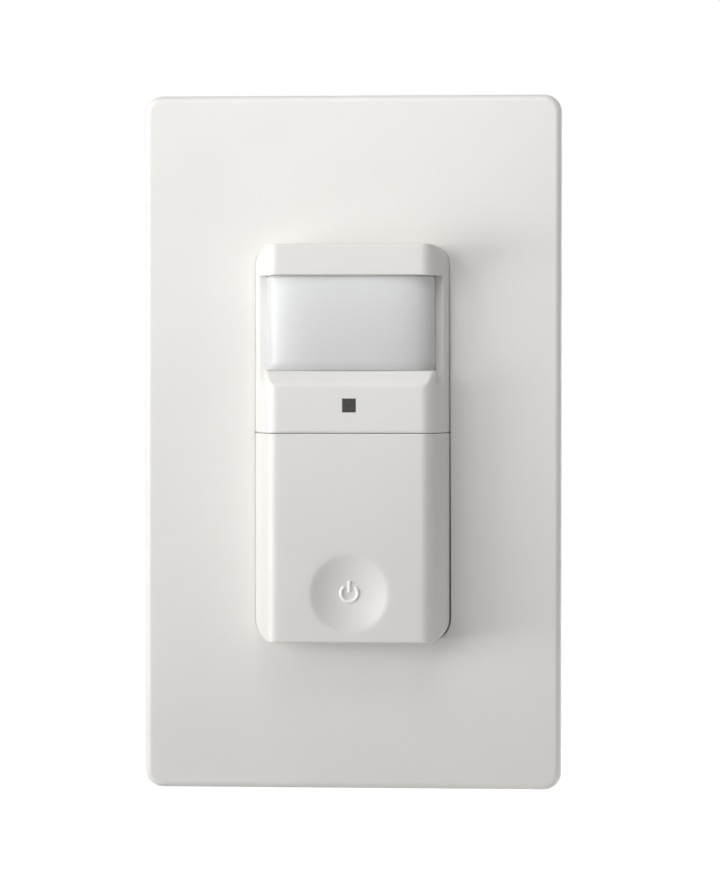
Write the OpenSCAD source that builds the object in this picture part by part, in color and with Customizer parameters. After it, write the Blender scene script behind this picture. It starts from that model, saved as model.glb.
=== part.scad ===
// Wall switch with a passive infrared motion sensor, a screwless face plate and one push pad.
// Every piece is drawn in a wall frame: x to the right, y up and z out of the wall, towards the viewer.
// The on_wall() module turns that frame so that z is up and the front looks along -y.
// The wall's surface is at zero depth, and the device's screws are centred on the origin.

/* [Face plate] */
// Width of the face plate
plate_w = 70.5; // [68:0.5:80]
// Height of the face plate
plate_h = 117; // [115:0.5:130]
// Depth of the face plate, from the wall to its front
plate_d = 6.4; // [6:0.1:8]
// Wall of the face plate
plate_wall = 2; // [1.6:0.1:2.2]
// Corner radius of the face plate, seen from the front
plate_corner_r = 3; // [2.5:0.5:6]
// Rounding of the face plate's front edge
plate_edge_r = 1.2; // [0.6:0.1:1.8]
// Wall of the collar behind the face plate's opening
collar_wall = 1.2; // [0.8:0.1:2]
// Length of each snap blade on the back of the face plate
blade_l = 9; // [5:0.5:14]
// Thickness of each snap blade
blade_t = 1.4; // [1:0.1:2]
// Distance from the face plate's middle up or down to the snap blades
blade_up = 29; // [20:0.5:36]

/* [Insert] */
// Width of the part that shows through the face plate
insert_w = 32.8; // [32:0.1:34]
// Height of the part that shows through the face plate
insert_h = 66.4; // [65:0.1:68]
// How far the insert stands out of the face plate
insert_out = 8; // [7:0.1:10]
// Lean of the insert's two long sides
side_draft = 19; // [10:1:20]
// Rounding along the insert's two long front edges
insert_edge_r = 2.4; // [0.8:0.1:3]
// Corner radius of the insert, seen from the front
insert_corner_r = 3.4; // [2:0.1:4]
// Wall of the sensor head
insert_wall = 1.8; // [1.5:0.1:2]
// Gap between the insert and the face plate's opening
opening_gap = 0.3; // [0.2:0.05:0.5]

/* [Sensor head] */
// Height of the bezel above the lens
bezel_h = 5.2; // [4.8:0.1:6]
// Height of the lens that shows
lens_h = 15.5; // [14:0.1:16.5]
// Width of the lens
lens_w = 28.2; // [26:0.1:28.4]
// Radius of the lens's bowed front
lens_bow_r = 60; // [40:1:120]
// Radius of the lens's rounded sides
lens_side_r = 3.6; // [1.5:0.1:4.2]
// Thickness of the lens
lens_t = 0.9; // [0.5:0.1:1.1]
// How far the lens sits behind the bezel's front
lens_recess = 1; // [0.5:0.1:1.5]
// Gap all round the lens
lens_gap = 0.2; // [0.1:0.05:0.3]
// How far the lens's flange reaches past its top and bottom
lens_flange = 1.3; // [1:0.1:1.5]
// Height of the ramp below the lens
ramp_h = 2.4; // [1.5:0.1:3]
// Depth of the ramp below the lens
ramp_drop = 1.7; // [1:0.1:2.2]
// Height of the band that holds the indicator
band_h = 7.8; // [7:0.1:8.5]
// How far the rails beside the lens stand out of the face plate
rail_out = 2.6; // [2:0.1:3.2]
// Depth of the rails, from their front to the lens's flange
rail_t = 1.6; // [1.2:0.1:2]
// Side of the square indicator window
window_w = 2.2; // [1.6:0.1:3]
// Distance from the top of the band down to the indicator's middle
window_drop = 3.4; // [2.5:0.1:4.5]

/* [Push pad] */
// Gap between the sensor head and the push pad
pad_gap = 0.3; // [0.2:0.05:0.5]
// Wall of the push pad
pad_wall = 1.6; // [1.3:0.1:1.8]
// How far the pad's skirt stops short of the deck behind it
pad_lift = 1.2; // [1:0.1:1.6]
// Diameter of the finger dimple
dimple_d = 13; // [10:0.5:14]
// Depth of the finger dimple
dimple_depth = 1.2; // [0.8:0.1:1.5]
// Distance from the pad's lower edge up to the dimple's middle
dimple_up = 8.15; // [7.5:0.05:9]
// Outer diameter of the power symbol's ring
symbol_d = 3.3; // [2.5:0.1:5]
// Width of the power symbol's strokes
symbol_stroke = 0.55; // [0.3:0.05:0.8]
// How far the power symbol stands out of the dimple
symbol_raise = 0.2; // [0.1:0.05:0.3]
// Diameter of the pivot pin
pin_d = 1.6; // [1.4:0.1:2]
// Running clearance around the pivot pin
pin_fit = 0.05; // [0.03:0.01:0.08]
// Distance from the pad's top wall down to the pivot pin
pin_drop = 2.4; // [2.3:0.1:3]
// Height of the pivot pin above the deck
pin_up = 3; // [2.6:0.1:3.4]
// Thickness of the ears that carry the pivot pin
ear_t = 1.6; // [1.2:0.1:2]
// Thickness of the pad's clips that hold the pivot pin
clip_t = 2.2; // [1.6:0.1:3]

/* [Yoke] */
// Thickness of the steel yoke
yoke_t = 1.2; // [1:0.1:1.4]
// Width of the yoke's middle
yoke_w = 46; // [44:0.5:48]
// Width of the yoke's ears
yoke_ear_w = 33; // [28:0.5:38]
// Distance between the two wall box screws
box_screw_pitch = 83.3; // [83:0.1:84]
// Distance between the two face plate screws
plate_screw_pitch = 96.8; // [96.4:0.1:97]
// Yoke beyond each face plate screw
ear_end = 4.1; // [3:0.1:4.5]
// Diameter of the wall box and face plate screws
screw_d = 3.5; // [3.3:0.1:3.6]
// Length of each wall box screw behind the yoke
box_screw_l = 20; // [16:1:28]
// Depth of the yoke's ground tab
ground_tab_d = 9; // [8:0.5:12]

/* [Snap frame] */
// Thickness of the snap frame behind the face plate
frame_t = 1.6; // [1.2:0.1:1.8]
// Gap between the snap frame and the face plate
frame_gap = 0.25; // [0.15:0.05:0.4]
// Thickness of the snap frame where its screws sit
frame_boss_t = 2.4; // [2.3:0.1:2.8]

/* [Rear housing] */
// Width of the rear housing
rear_w = 42; // [40:0.5:44]
// Depth of the rear housing behind the yoke
rear_d = 32; // [31:0.5:38]
// Wall of the rear housing
rear_wall = 1.8; // [1.5:0.1:2.2]
// Rounding of the rear housing's edges
rear_edge_r = 2; // [1:0.1:3]
// Distance from each housing screw to the rear housing's end
rear_reach = 5.9; // [5.2:0.1:7]
// Distance from the insert's side in to the housing screws
case_screw_in = 4.9; // [4.7:0.1:5.4]
// Distance from the insert's end in to the housing screws
case_screw_down = 4.6; // [4.4:0.1:5]
// Diameter of the four housing screws
case_screw_d = 2.6; // [2.2:0.1:3]
// Length of the four housing screws under their heads
case_screw_l = 16; // [14:0.5:20]
// Thickness of the deck behind the push pad
deck_t = 1.4; // [1.2:0.1:1.8]
// Height of the control panel above the deck
panel_up = 2.6; // [2.2:0.1:3]

/* [Terminals] */
// Depth of each terminal pocket in the rear housing's sides
pocket_d = 4.2; // [3.8:0.1:5]
// Side of each square terminal pocket
pocket_w = 10; // [9:0.5:12]
// Distance from the yoke back to the middle of each terminal
terminal_back = 13; // [11.5:0.5:15]
// Distance from the middle up or down to each terminal
terminal_up = 10; // [8:0.5:13]
// Thickness of the brass terminal strips
strip_t = 1; // [0.8:0.1:1.2]
// Thickness of each clamp under a terminal screw
clamp_t = 1.2; // [1:0.1:1.5]
// Diameter of the terminal screws' heads
terminal_head_d = 6.6; // [5:0.1:7.5]

/* [Electronics] */
// Thickness of both circuit boards
board_t = 1.6; // [1:0.2:2]
// Width of both circuit boards
board_w = 34; // [32:0.5:36]
// Distance from the yoke's back to the control board's front
board_back = 0.6; // [0.4:0.1:1]
// Space between the power board and the rear housing's floor
solder_gap = 3.6; // [3:0.1:5]
// Diameter of the motion sensor's can
can_d = 9.2; // [8:0.1:9.4]
// Height of the motion sensor's can
can_h = 4.2; // [3.5:0.1:5]
// Height of the spacer under the motion sensor
spacer_h = 3; // [2:0.1:4]
// Height of the switch under the push pad, with its plunger
tact_h = 7; // [6:0.1:7.4]
// Side of the square switch under the push pad
tact_w = 6.2; // [5:0.1:6.4]
// Diameter of the switch's plunger
plunger_d = 3.5; // [2.5:0.1:4]
// Distance between the three setting dials
dial_pitch = 8.5; // [8:0.1:9]
// Diameter of each setting dial
dial_d = 5.2; // [4:0.1:5.6]
// Distance from the pad's top down to the setting dials
dial_drop = 12.4; // [11:0.1:15]
// Width, height and depth of the relay
relay_size = [19, 15.4, 15.2]; // [5:0.1:20]
// Width, height and depth of the film capacitor
film_size = [13, 6, 11.5]; // [3:0.1:14]
// Diameter of the two electrolytic capacitors
can_cap_d = 8; // [5:0.5:9]
// Length of the two electrolytic capacitors
can_cap_l = 13; // [8:0.5:18]
// Diameter of the surge absorber's disc
surge_d = 10; // [7:0.5:11]

/* [Hidden] */

// Steps in a quarter of a round outline
arc_n = 10;
// How far a cutting solid runs past the face that it cuts
over = 1;
// Gap between pieces that sit beside each other without moving
seat_gap = 0.15;
// Radial gap between a screw's thread and its hole
thread_fit = 0.04;
$fn = 48;

// Depths, out of the wall
plate_inner = plate_d - plate_wall;
z_front = plate_d + insert_out;
z_rail = plate_d + rail_out;
z_shoulder = z_rail - rail_t;
z_lens = z_front - lens_recess;
z_ramp = z_front - ramp_drop;
z_deck = yoke_t + deck_t;
z_panel = z_deck + panel_up;
z_pin = z_deck + pin_up;
z_pad_back = z_deck + pad_lift;
z_frame = yoke_t + frame_t;
z_board = -board_back;
z_power = -rear_d + rear_wall + solder_gap + board_t;
z_pocket = -terminal_back;

// Heights up the face
insert_top = insert_h / 2;
bezel_y = insert_top - bezel_h;
lens_y1 = bezel_y - lens_gap;
lens_y0 = lens_y1 - lens_h;
lens_y = (lens_y0 + lens_y1) / 2;
ramp_y1 = lens_y0 - lens_gap;
ramp_y0 = ramp_y1 - ramp_h;
head_y0 = ramp_y0 - band_h;
window_y = ramp_y0 - window_drop;
pad_y1 = head_y0 - pad_gap;
pad_y0 = -insert_top;
pin_y = pad_y1 - pad_wall - pin_drop;
dimple_y = pad_y0 + dimple_up;
dial_y = pad_y1 - dial_drop;

// Openings and the pieces around them
opening_w = insert_w + 2 * opening_gap;
opening_h = insert_h + 2 * opening_gap;
opening_r = insert_corner_r + opening_gap;
frame_w = plate_w - 2 * plate_wall - 2 * frame_gap;
frame_h = plate_h - 2 * plate_wall - 2 * frame_gap;
blade_x = (frame_w + yoke_w) / 4;
yoke_h = plate_screw_pitch + 2 * ear_end;

// Screws
screw_r = screw_d / 2;
pan_head_r = 3.4;
pan_head_h = 2.2;
flat_head_r = 3.4;
flat_head_h = flat_head_r - screw_r;
frame_boss_r = flat_head_r + 1.6;
screw_slot_w = 0.9;
screw_slot_d = 0.8;
neck_r = screw_r - 0.3;
box_slot_w = 2 * screw_r + 0.6;
box_slot_l = 6.8;

// Housing screws and the columns that they run in
case_x = insert_w / 2 - case_screw_in;
case_y = insert_top - case_screw_down;
case_r = case_screw_d / 2;
case_head_r = 2.3;
case_head_h = 1.9;
case_boss_r = case_r + 0.9;
case_boss_top = yoke_t + 3.2;
case_hole_r = case_r + 0.25;
column_bore_r = case_head_r + 0.3;
column_r = column_bore_r + 1.3;
case_screw_tip = case_boss_top - 0.4;
case_seat = case_screw_tip - case_screw_l;
rear_h = 2 * (case_y + rear_reach);
rear_corner_r = rear_edge_r + 1;

// Windows in the yoke
yoke_body_h = rear_h + 5;
yoke_ear_r = 4;
yoke_window_w = 27;
yoke_window_h = 2 * (case_y - 3);
tab_h = 8;
tab_gap = 2.4;
tab_x = -12;
tab_y = -(rear_h / 2 + tab_gap + tab_h / 2);
tab_z = -ground_tab_d / 2 - 0.6;
ground_screw_l = yoke_t + 3.4;

// Push pad
pin_r = pin_d / 2;
pin_half = insert_w / 2 - pad_wall - 0.6;
ear_x = pin_half - 0.8 - ear_t / 2;
ear_half = pin_r + 0.8;
clip_x = ear_x - ear_t / 2 - 1.2 - clip_t / 2;
clip_half = pin_r + 1.2;
clip_fit = pin_fit + 0.03;
post_r = 1.4;
post_gap = 0.08;
dimple_r = (pow(dimple_d / 2, 2) + pow(dimple_depth, 2)) / (2 * dimple_depth);
z_dimple = z_front - dimple_depth;
dimple_back_t = 1.4;

// Switch, dials and other parts on the control board
z_tact = z_board + tact_h;
tact_body_h = 3.4;
plunger_r = plunger_d / 2;
plunger_seat = 0.9;
plunger_room = 0.8;
part_fit = 0.05;
led_h = 3.8;
lamp_r = 1.5;
filter_w = can_d * 0.45;
filter_h = can_d * 0.35;
filter_t = 0.4;
dial_r = dial_d / 2;
dial_body_w = dial_d + 1.4;
dial_body_top = z_panel - 1.3;
dial_seat = 1;
dial_stand = 1.2;
panel_t = 1;
panel_w = 2 * dial_pitch + dial_body_w + 2.6;
panel_h = dial_body_w + 4;
tick_count = 7;
dial_sweep = 240;

// Boards: a wide middle between the columns, and a narrow tongue at each end
board_mid_h = 2 * (case_y - column_r - 0.4);
board_tongue_w = 2 * (case_x - column_r - 0.4);
board_tongue_h = 2 * (case_y + 1.5);
link_pins = 5;
link_pitch = 2.54;
link_at = [1.1 - yoke_window_w / 2, -6];
link_pin_r = 0.32;

// Terminals: side of the housing, 1 for right and -1 for left, and height
terminals = [[1, terminal_up], [1, -terminal_up], [-1, terminal_up]];
pocket_floor = rear_w / 2 - pocket_d;
pocket_wall = 1.6;
strip_w = pocket_w - 1.4;
strip_leg_w = 4;
strip_leg_x = pocket_floor - pocket_wall - seat_gap - strip_t;
clamp_w = pocket_w - 2.4;
terminal_shank_l = 5;
terminal_head_h = 2;

// Where the tall parts stand on the power board
relay_at = [3.6, -13.4];
film_at = [5.4, 18.6];
can_caps_at = [[-8.6, 17.4], [-8.6, 7.4]];
surge_at = [2.6, 8.4];
rectifier_size = [6.4, 8.2, 3];
rectifier_at = [-9.6, -19.4];
choke_at = [9.8, 2.2];
choke_d = 7;
choke_l = 9;
fuse_at = [-1, 1.2];
fuse_size = [8.4, 4.2, 7.6];
surge_t = 4;

// Turns a piece drawn in the wall frame so that its up is z and its front looks along -y
module on_wall() {
    rotate([90, 0, 0])
        children();
}

// Points of an arc about c, from angle a0 to angle a1
function arc(c, r, a0, a1, n = arc_n) =
    [for (i = [0:n]) let (a = a0 + (a1 - a0) * i / n) c + r * [cos(a), sin(a)]];

// Points of a rectangle with round corners, about the middle
function rounded_rect(w, h, r) = concat(
    arc([w / 2 - r, h / 2 - r], r, 0, 90),
    arc([r - w / 2, h / 2 - r], r, 90, 180),
    arc([r - w / 2, r - h / 2], r, 180, 270),
    arc([w / 2 - r, r - h / 2], r, 270, 360)
);

// The same outline's points on the left of the y axis, in the order that closes the shape
function mirrored(points) = [for (i = [len(points) - 1:-1:0]) [-points[i][0], points[i][1]]];

// Flat piece with round corners between two depths
module slab(w, h, r, z0, z1) {
    translate([0, 0, z0])
        linear_extrude(z1 - z0)
            polygon(rounded_rect(w, h, r));
}

// Outline in x and z, drawn out along y
module prism_y(points, y0, y1) {
    translate([0, y1, 0])
        rotate([90, 0, 0])
            linear_extrude(y1 - y0)
                polygon(points);
}

// Outline in y and z, drawn out along x and centred on x
module prism_x(points, x, t) {
    translate([x - t / 2, 0, 0])
        rotate([90, 0, 90])
            linear_extrude(t)
                polygon(points);
}

// Box centred on x and y between two depths
module post(at, size, z0, z1) {
    translate([at[0] - size[0] / 2, at[1] - size[1] / 2, z0])
        cube([size[0], size[1], z1 - z0]);
}

// Round post between two depths
module rod(at, r, z0, z1) {
    translate([at[0], at[1], z0])
        cylinder(r = r, h = z1 - z0);
}

// Copies a piece to four corners
module at_corners(x, y) {
    for (sx = [-1, 1], sy = [-1, 1])
        translate([sx * x, sy * y, 0])
            children();
}

// Box with round corners, from zero up to a depth, with a round edge at that depth
module cushion(w, h, corner_r, edge_r, depth) {
    hull()
        at_corners(w / 2 - corner_r, h / 2 - corner_r)
            rotate_extrude($fn = 32)
                polygon(concat(
                    [[0, 0], [corner_r, 0]],
                    arc([corner_r - edge_r, depth - edge_r], edge_r, 0, 90, 6),
                    [[0, depth]]
                ));
}

// Half of the insert's outline in x and z, moved in by a wall
function insert_half(inset, z0) =
    let (
        half = insert_w / 2 - inset,
        front = z_front - inset,
        r = max(insert_edge_r - inset, 0.3),
        lean = tan(side_draft),
        corner = insert_w / 2 - inset / cos(side_draft) - (front - plate_d) * lean,
        tangent = r / tan((90 + side_draft) / 2)
    )
    concat(
        [[half, z0], [half, plate_d - inset * tan(side_draft / 2)]],
        arc([corner - tangent, front - r], r, side_draft, 90, 6)
    );

function insert_profile(inset, z0) = concat(insert_half(inset, z0), mirrored(insert_half(inset, z0)));

// The insert's whole outer form between two heights and from a depth up
module insert_block(inset, y0, y1, z0) {
    intersection() {
        prism_y(insert_profile(inset, z0), y0, y1);
        slab(
            insert_w - 2 * inset, insert_h - 2 * inset,
            max(insert_corner_r - inset, 0.3), z0 - over, z_front + over
        );
    }
}

// Half of the lens's outline in x and z, moved in by a wall
function lens_half(inset, z0) =
    let (
        side = lens_w / 2 - lens_side_r,
        bow = lens_bow_r - lens_side_r,
        middle = z_lens - lens_bow_r,
        side_z = middle + sqrt(bow * bow - side * side),
        turn = asin(side / bow)
    )
    concat(
        [[lens_w / 2 - inset, z0]],
        arc([side, side_z], lens_side_r - inset, 0, 90 - turn),
        arc([0, middle], lens_bow_r - inset, 90 - turn, 90, arc_n)
    );

function lens_profile(inset, z0) = concat(lens_half(inset, z0), mirrored(lens_half(inset, z0)));

// Screw along z with its head's underside at depth 0, its head on the + side and its tip on the - side
module pan_screw(head_r, head_h, shank_r, length) {
    difference() {
        union() {
            cylinder(r = head_r, h = head_h);
            translate([0, 0, -length])
                cylinder(r = shank_r, h = length);
        }
        translate([-head_r - over, -screw_slot_w / 2, head_h - screw_slot_d])
            cube([2 * head_r + 2 * over, screw_slot_w, screw_slot_d + over]);
    }
}

// Face plate that snaps over the frame and leaves the opening for the insert
module face_plate() {
    collar_back = z_frame + 0.4;
    color("whitesmoke")
        difference() {
            cushion(plate_w, plate_h, plate_corner_r, plate_edge_r, plate_d);
            difference() {
                slab(
                    plate_w - 2 * plate_wall, plate_h - 2 * plate_wall,
                    max(plate_corner_r - plate_wall, 0.5), -over, plate_inner
                );
                slab(
                    opening_w + 2 * collar_wall, opening_h + 2 * collar_wall,
                    opening_r + collar_wall, collar_back, plate_inner + over
                );
                for (sx = [-1, 1], sy = [-1, 1])
                    post([sx * blade_x, sy * blade_up], [blade_t, blade_l], yoke_t / 2, plate_inner + over);
            }
            slab(opening_w, opening_h, opening_r, -over, plate_d + over);
            yoke_room();
        }
}

// Room that the face plate leaves for the yoke's ears and for the snap frame's screw bosses
module yoke_room() {
    slab(yoke_ear_w + 2 * frame_gap, yoke_h + 2 * frame_gap, yoke_ear_r, -over, yoke_t + frame_gap);
    for (sy = [-1, 1])
        rod([0, sy * plate_screw_pitch / 2], frame_boss_r + frame_gap, -over,
            yoke_t + frame_boss_t + frame_gap);
}

// Frame that is screwed to the yoke and takes the face plate's snap blades
module snap_frame() {
    skirt_t = 1.4;
    skirt_back = 0.4;
    color("gainsboro")
        difference() {
            union() {
                slab(frame_w, frame_h, 1, skirt_back, z_frame);
                for (sy = [-1, 1])
                    rod([0, sy * plate_screw_pitch / 2], frame_boss_r, yoke_t, yoke_t + frame_boss_t);
            }
            slab(frame_w - 2 * skirt_t, frame_h - 2 * skirt_t, 0.6, -over, yoke_t);
            slab(yoke_ear_w + 2 * frame_gap, yoke_h + 2 * frame_gap, yoke_ear_r, -over, yoke_t);
            slab(
                opening_w + 2 * collar_wall, opening_h + 2 * collar_wall,
                opening_r + collar_wall, 0, z_frame + over
            );
            for (sx = [-1, 1], sy = [-1, 1])
                post(
                    [sx * blade_x, sy * blade_up],
                    [blade_t + 2 * frame_gap, blade_l + 2 * frame_gap], 0, z_frame + over
                );
            for (sy = [-1, 1]) {
                rod([0, sy * box_screw_pitch / 2], pan_head_r + 0.6, 0, z_frame + over);
                rod([0, sy * plate_screw_pitch / 2], screw_r + 0.2, 0, z_frame + 2 * over);
                translate([0, sy * plate_screw_pitch / 2, yoke_t + frame_boss_t - flat_head_h - 0.1])
                    cylinder(r1 = screw_r + 0.1, r2 = flat_head_r + 0.1 + over, h = flat_head_h + over);
            }
        }
}

// Flat-head screws that hold the snap frame to the yoke
module plate_screws() {
    top = yoke_t + frame_boss_t;
    length = top + 3;
    color("gainsboro")
        for (sy = [-1, 1])
            translate([0, sy * plate_screw_pitch / 2, top])
                difference() {
                    union() {
                        translate([0, 0, -flat_head_h])
                            cylinder(r1 = screw_r, r2 = flat_head_r, h = flat_head_h);
                        translate([0, 0, -length])
                            cylinder(r = screw_r, h = length - flat_head_h + 0.01);
                    }
                    translate([-flat_head_r - over, -screw_slot_w / 2, -screw_slot_d])
                        cube([2 * flat_head_r + 2 * over, screw_slot_w, screw_slot_d + over]);
                }
}

// Steel strap that carries the device and screws to the wall box
module yoke() {
    notch_w = tact_w + 1.6;
    color("silver")
        difference() {
            union() {
                slab(yoke_w, yoke_body_h, 3, 0, yoke_t);
                slab(yoke_ear_w, yoke_h, yoke_ear_r, 0, yoke_t);
                post([tab_x, tab_y], [yoke_t, tab_h], -ground_tab_d, yoke_t / 2);
            }
            slab(yoke_window_w, yoke_window_h, 1.5, -over, yoke_t + over);
            post([0, dimple_y], [notch_w, notch_w], -over, yoke_t + over);
            for (sy = [-1, 1]) {
                translate([0, sy * box_screw_pitch / 2, -over])
                    linear_extrude(yoke_t + 2 * over)
                        polygon(rounded_rect(box_slot_l, box_slot_w, box_slot_w / 2 - 0.01));
                rod([0, sy * plate_screw_pitch / 2], screw_r + thread_fit, -over, yoke_t + over);
            }
            at_corners(case_x, case_y)
                rod([0, 0], case_hole_r, -over, yoke_t + over);
            translate([tab_x, tab_y, tab_z])
                rotate([0, 90, 0])
                    cylinder(r = screw_r + thread_fit, h = yoke_t + 2 * over, center = true);
        }
}

// Pan-head screws that hold the yoke to the wall box, with a narrow neck where the yoke's slots hold them
module box_screws() {
    tip_l = 1.2;
    color("silver")
        for (sy = [-1, 1])
            translate([0, sy * box_screw_pitch / 2, 0]) {
                translate([0, 0, yoke_t])
                    pan_screw(pan_head_r, pan_head_h, neck_r, yoke_t + 0.4);
                rod([0, 0], screw_r, -box_screw_l, 0);
                translate([0, 0, -box_screw_l - tip_l])
                    cylinder(r1 = screw_r / 2, r2 = screw_r, h = tip_l);
            }
}

// Green screw for the earth wire, in the yoke's tab
module ground_screw() {
    color("seagreen")
        translate([tab_x - yoke_t / 2, tab_y, tab_z])
            rotate([0, -90, 0])
                pan_screw(pan_head_r, pan_head_h, screw_r, ground_screw_l);
}

// Sensor head, deck and control panel in one moulding
module front_cover() {
    color("whitesmoke")
        difference() {
            union() {
                head_shell();
                deck();
            }
            at_corners(case_x, case_y)
                rod([0, 0], case_r + thread_fit, 0, case_screw_tip + 0.3);
        }
}

// Bezel, rails, ramp and band around the lens
module head_shell() {
    slope = ramp_h / ramp_drop;
    inner_y0 = head_y0 + insert_wall;
    inner_y1 = insert_top - insert_wall;
    inner_w = insert_w - 2 * insert_wall;
    core_w = 20;
    web_l = inner_w / 2 - case_x + 0.6;
    window_hole = window_w + 2 * part_fit;
    difference() {
        insert_block(0, head_y0, insert_top, yoke_t);
        prism_x(
            [
                [ramp_y1, z_rail], [bezel_y, z_rail], [bezel_y, z_front + over],
                [ramp_y0 - over * slope, z_front + over], [ramp_y1, z_ramp]
            ],
            0, insert_w + 2 * over
        );
        for (side = [0, 1])
            mirror([side, 0, 0])
                ramp_flank();
        translate([-inner_w / 2, inner_y0, 0])
            cube([inner_w, inner_y1 - inner_y0, z_shoulder]);
        translate([-lens_w / 2 - lens_gap, ramp_y1, 0])
            cube([lens_w + 2 * lens_gap, bezel_y - ramp_y1, z_front + over]);
        translate([-core_w / 2, inner_y0, 0])
            cube([core_w, ramp_y0 - 0.2 - inner_y0, z_front - insert_wall]);
        translate([-core_w / 2, bezel_y + 1.4, 0])
            cube([core_w, inner_y1 - bezel_y - 1.4, z_front - insert_wall]);
        post([0, window_y], [window_hole, window_hole], 0, z_front + over);
    }
    for (sx = [-1, 1]) {
        rod([sx * case_x, case_y], case_boss_r, yoke_t, case_boss_top);
        post([sx * (case_x + inner_w / 2) / 2, case_y], [web_l, case_boss_r], yoke_t, case_boss_top);
    }
}

// Cut that carries the ramp round the right flank, down to the rail's front
module ramp_flank() {
    foot = insert_w / 2 - rail_out * tan(side_draft);
    step_in = (foot - lens_w / 2 - lens_gap) * cos(side_draft);
    past = 1 + over / ramp_h;
    intersection() {
        translate([foot, 0, z_rail])
            rotate([0, -side_draft, 0])
                translate([0, 0, -over])
                    linear_extrude(insert_out + 2 * over)
                        polygon([
                            [0, ramp_y0], [-step_in * past, ramp_y1 + over],
                            [over, ramp_y1 + over], [over, ramp_y0]
                        ]);
        translate([0, ramp_y0 - over, z_rail])
            cube([insert_w, ramp_h + 3 * over, insert_out + over]);
    }
}

// Deck behind the push pad, with the raised control panel and the pivot's ears
module deck() {
    hold_r = 1.5;
    hold_x = yoke_window_w / 2 - 1.6;
    difference() {
        union() {
            intersection() {
                slab(insert_w, insert_h, insert_corner_r, yoke_t, z_deck);
                translate([-insert_w, pad_y0, 0])
                    cube([2 * insert_w, head_y0 + insert_wall - pad_y0, z_deck]);
            }
            post([0, dial_y], [panel_w, panel_h], yoke_t, z_panel);
            for (sx = [-1, 1]) {
                rod([sx * case_x, -case_y], case_boss_r, yoke_t, case_boss_top);
                rod([sx * hold_x, dial_y - panel_h / 2 - 2], hold_r, z_board, z_deck);
                prism_x(
                    concat(
                        [[pin_y - ear_half, yoke_t + 0.2], [pin_y + ear_half, yoke_t + 0.2]],
                        arc([pin_y, z_pin], ear_half, 0, 180)
                    ),
                    sx * ear_x, ear_t
                );
            }
        }
        post([0, dial_y], [panel_w - 2 * panel_t, panel_h - 2 * panel_t], 0, z_panel - panel_t);
        post([0, dimple_y], [tact_w + 0.8, tact_w + 0.8], 0, z_deck + over);
        translate([0, pin_y, z_pin])
            rotate([0, 90, 0])
                cylinder(r = pin_r + pin_fit, h = insert_w, center = true);
        for (i = [-1:1])
            translate([i * dial_pitch, dial_y, 0]) {
                rod([0, 0], dial_r + 0.25, 0, z_panel + over);
                dial_ticks();
            }
    }
}

// Marks cut into the panel around a dial
module dial_ticks() {
    tick = [0.3, 0.8, 0.3];
    for (i = [0:tick_count - 1])
        rotate([0, 0, dial_sweep / 2 - i * dial_sweep / (tick_count - 1)])
            translate([-tick[0] / 2, dial_r + 0.6, z_panel - tick[2]])
                cube([tick[0], tick[1], tick[2] + over]);
}

// Milky lens with a flange behind the rails
module lens() {
    flange_t = 1;
    flange_w = insert_w - 2 * insert_wall - 0.2;
    z_flange = z_shoulder - flange_t;
    color("lightgray")
        difference() {
            union() {
                prism_y(lens_profile(0, z_flange), lens_y0, lens_y1);
                translate([-flange_w / 2, lens_y0 - lens_flange, z_flange])
                    cube([flange_w, lens_h + 2 * lens_flange, flange_t]);
            }
            prism_y(lens_profile(lens_t, z_flange - over), lens_y0 + lens_t, lens_y1 - lens_t);
        }
}

// Frame that stands on the control board and holds the lens's flange against the rails
module lens_retainer() {
    retainer_t = 1.6;
    z_back = z_shoulder - 1 - retainer_t;
    rim = 2.6;
    leg = 2;
    frame_wide = insert_w - 2 * insert_wall - 0.4;
    frame_tall = lens_h + 2 * lens_flange;
    leg_x = yoke_window_w / 2 - leg / 2 - 0.5;
    color("dimgray")
        translate([0, lens_y, 0]) {
            difference() {
                slab(frame_wide, frame_tall, 0.5, z_back, z_back + retainer_t);
                slab(frame_wide - 2 * rim, frame_tall - 2 * rim, 0.5, z_back - over, z_shoulder);
            }
            for (sx = [-1, 1], sy = [-1, 1])
                post(
                    [sx * leg_x, sy * (lens_h / 2 - 4.9) - 2], [leg, leg],
                    z_board, z_back + 0.1
                );
        }
}

// Dark window in the band, with a light pipe behind it
module indicator_window() {
    flange_w = window_w + 1.6;
    flange_t = 1;
    z_inner = z_front - insert_wall;
    color([0.16, 0.16, 0.16])
        union() {
            post([0, window_y], [window_w, window_w], z_board + led_h + 0.3, z_front);
            post([0, window_y], [flange_w, flange_w], z_inner - flange_t, z_inner);
        }
}

// Push pad with its dimple, power symbol, pivot clips and switch post
module push_pad() {
    color("whitesmoke") {
        difference() {
            union() {
                difference() {
                    insert_block(0, pad_y0, pad_y1, z_pad_back);
                    insert_block(pad_wall, pad_y0 + pad_wall, pad_y1 - pad_wall, 0);
                }
                pad_inside();
            }
            translate([0, dimple_y, z_dimple + dimple_r])
                sphere(r = dimple_r, $fn = 96);
            for (sx = [-1, 1])
                pin_slot(sx * clip_x);
        }
        power_symbol();
    }
}

// Clips for the pivot pin, the dimple's backing and the post that works the switch
module pad_inside() {
    z_inner = z_front - pad_wall;
    back_r = dimple_d / 2;
    for (sx = [-1, 1])
        prism_x(
            [
                [pin_y - clip_half, z_pin - pin_r - 0.4], [pin_y + clip_half, z_pin - pin_r - 0.4],
                [pin_y + clip_half, z_inner + 0.2], [pin_y - clip_half, z_inner + 0.2]
            ],
            sx * clip_x, clip_t
        );
    rod([0, dimple_y], back_r, z_inner - dimple_back_t, z_inner + 0.2);
    rod([0, dimple_y], post_r, z_tact + post_gap, z_inner);
}

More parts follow.
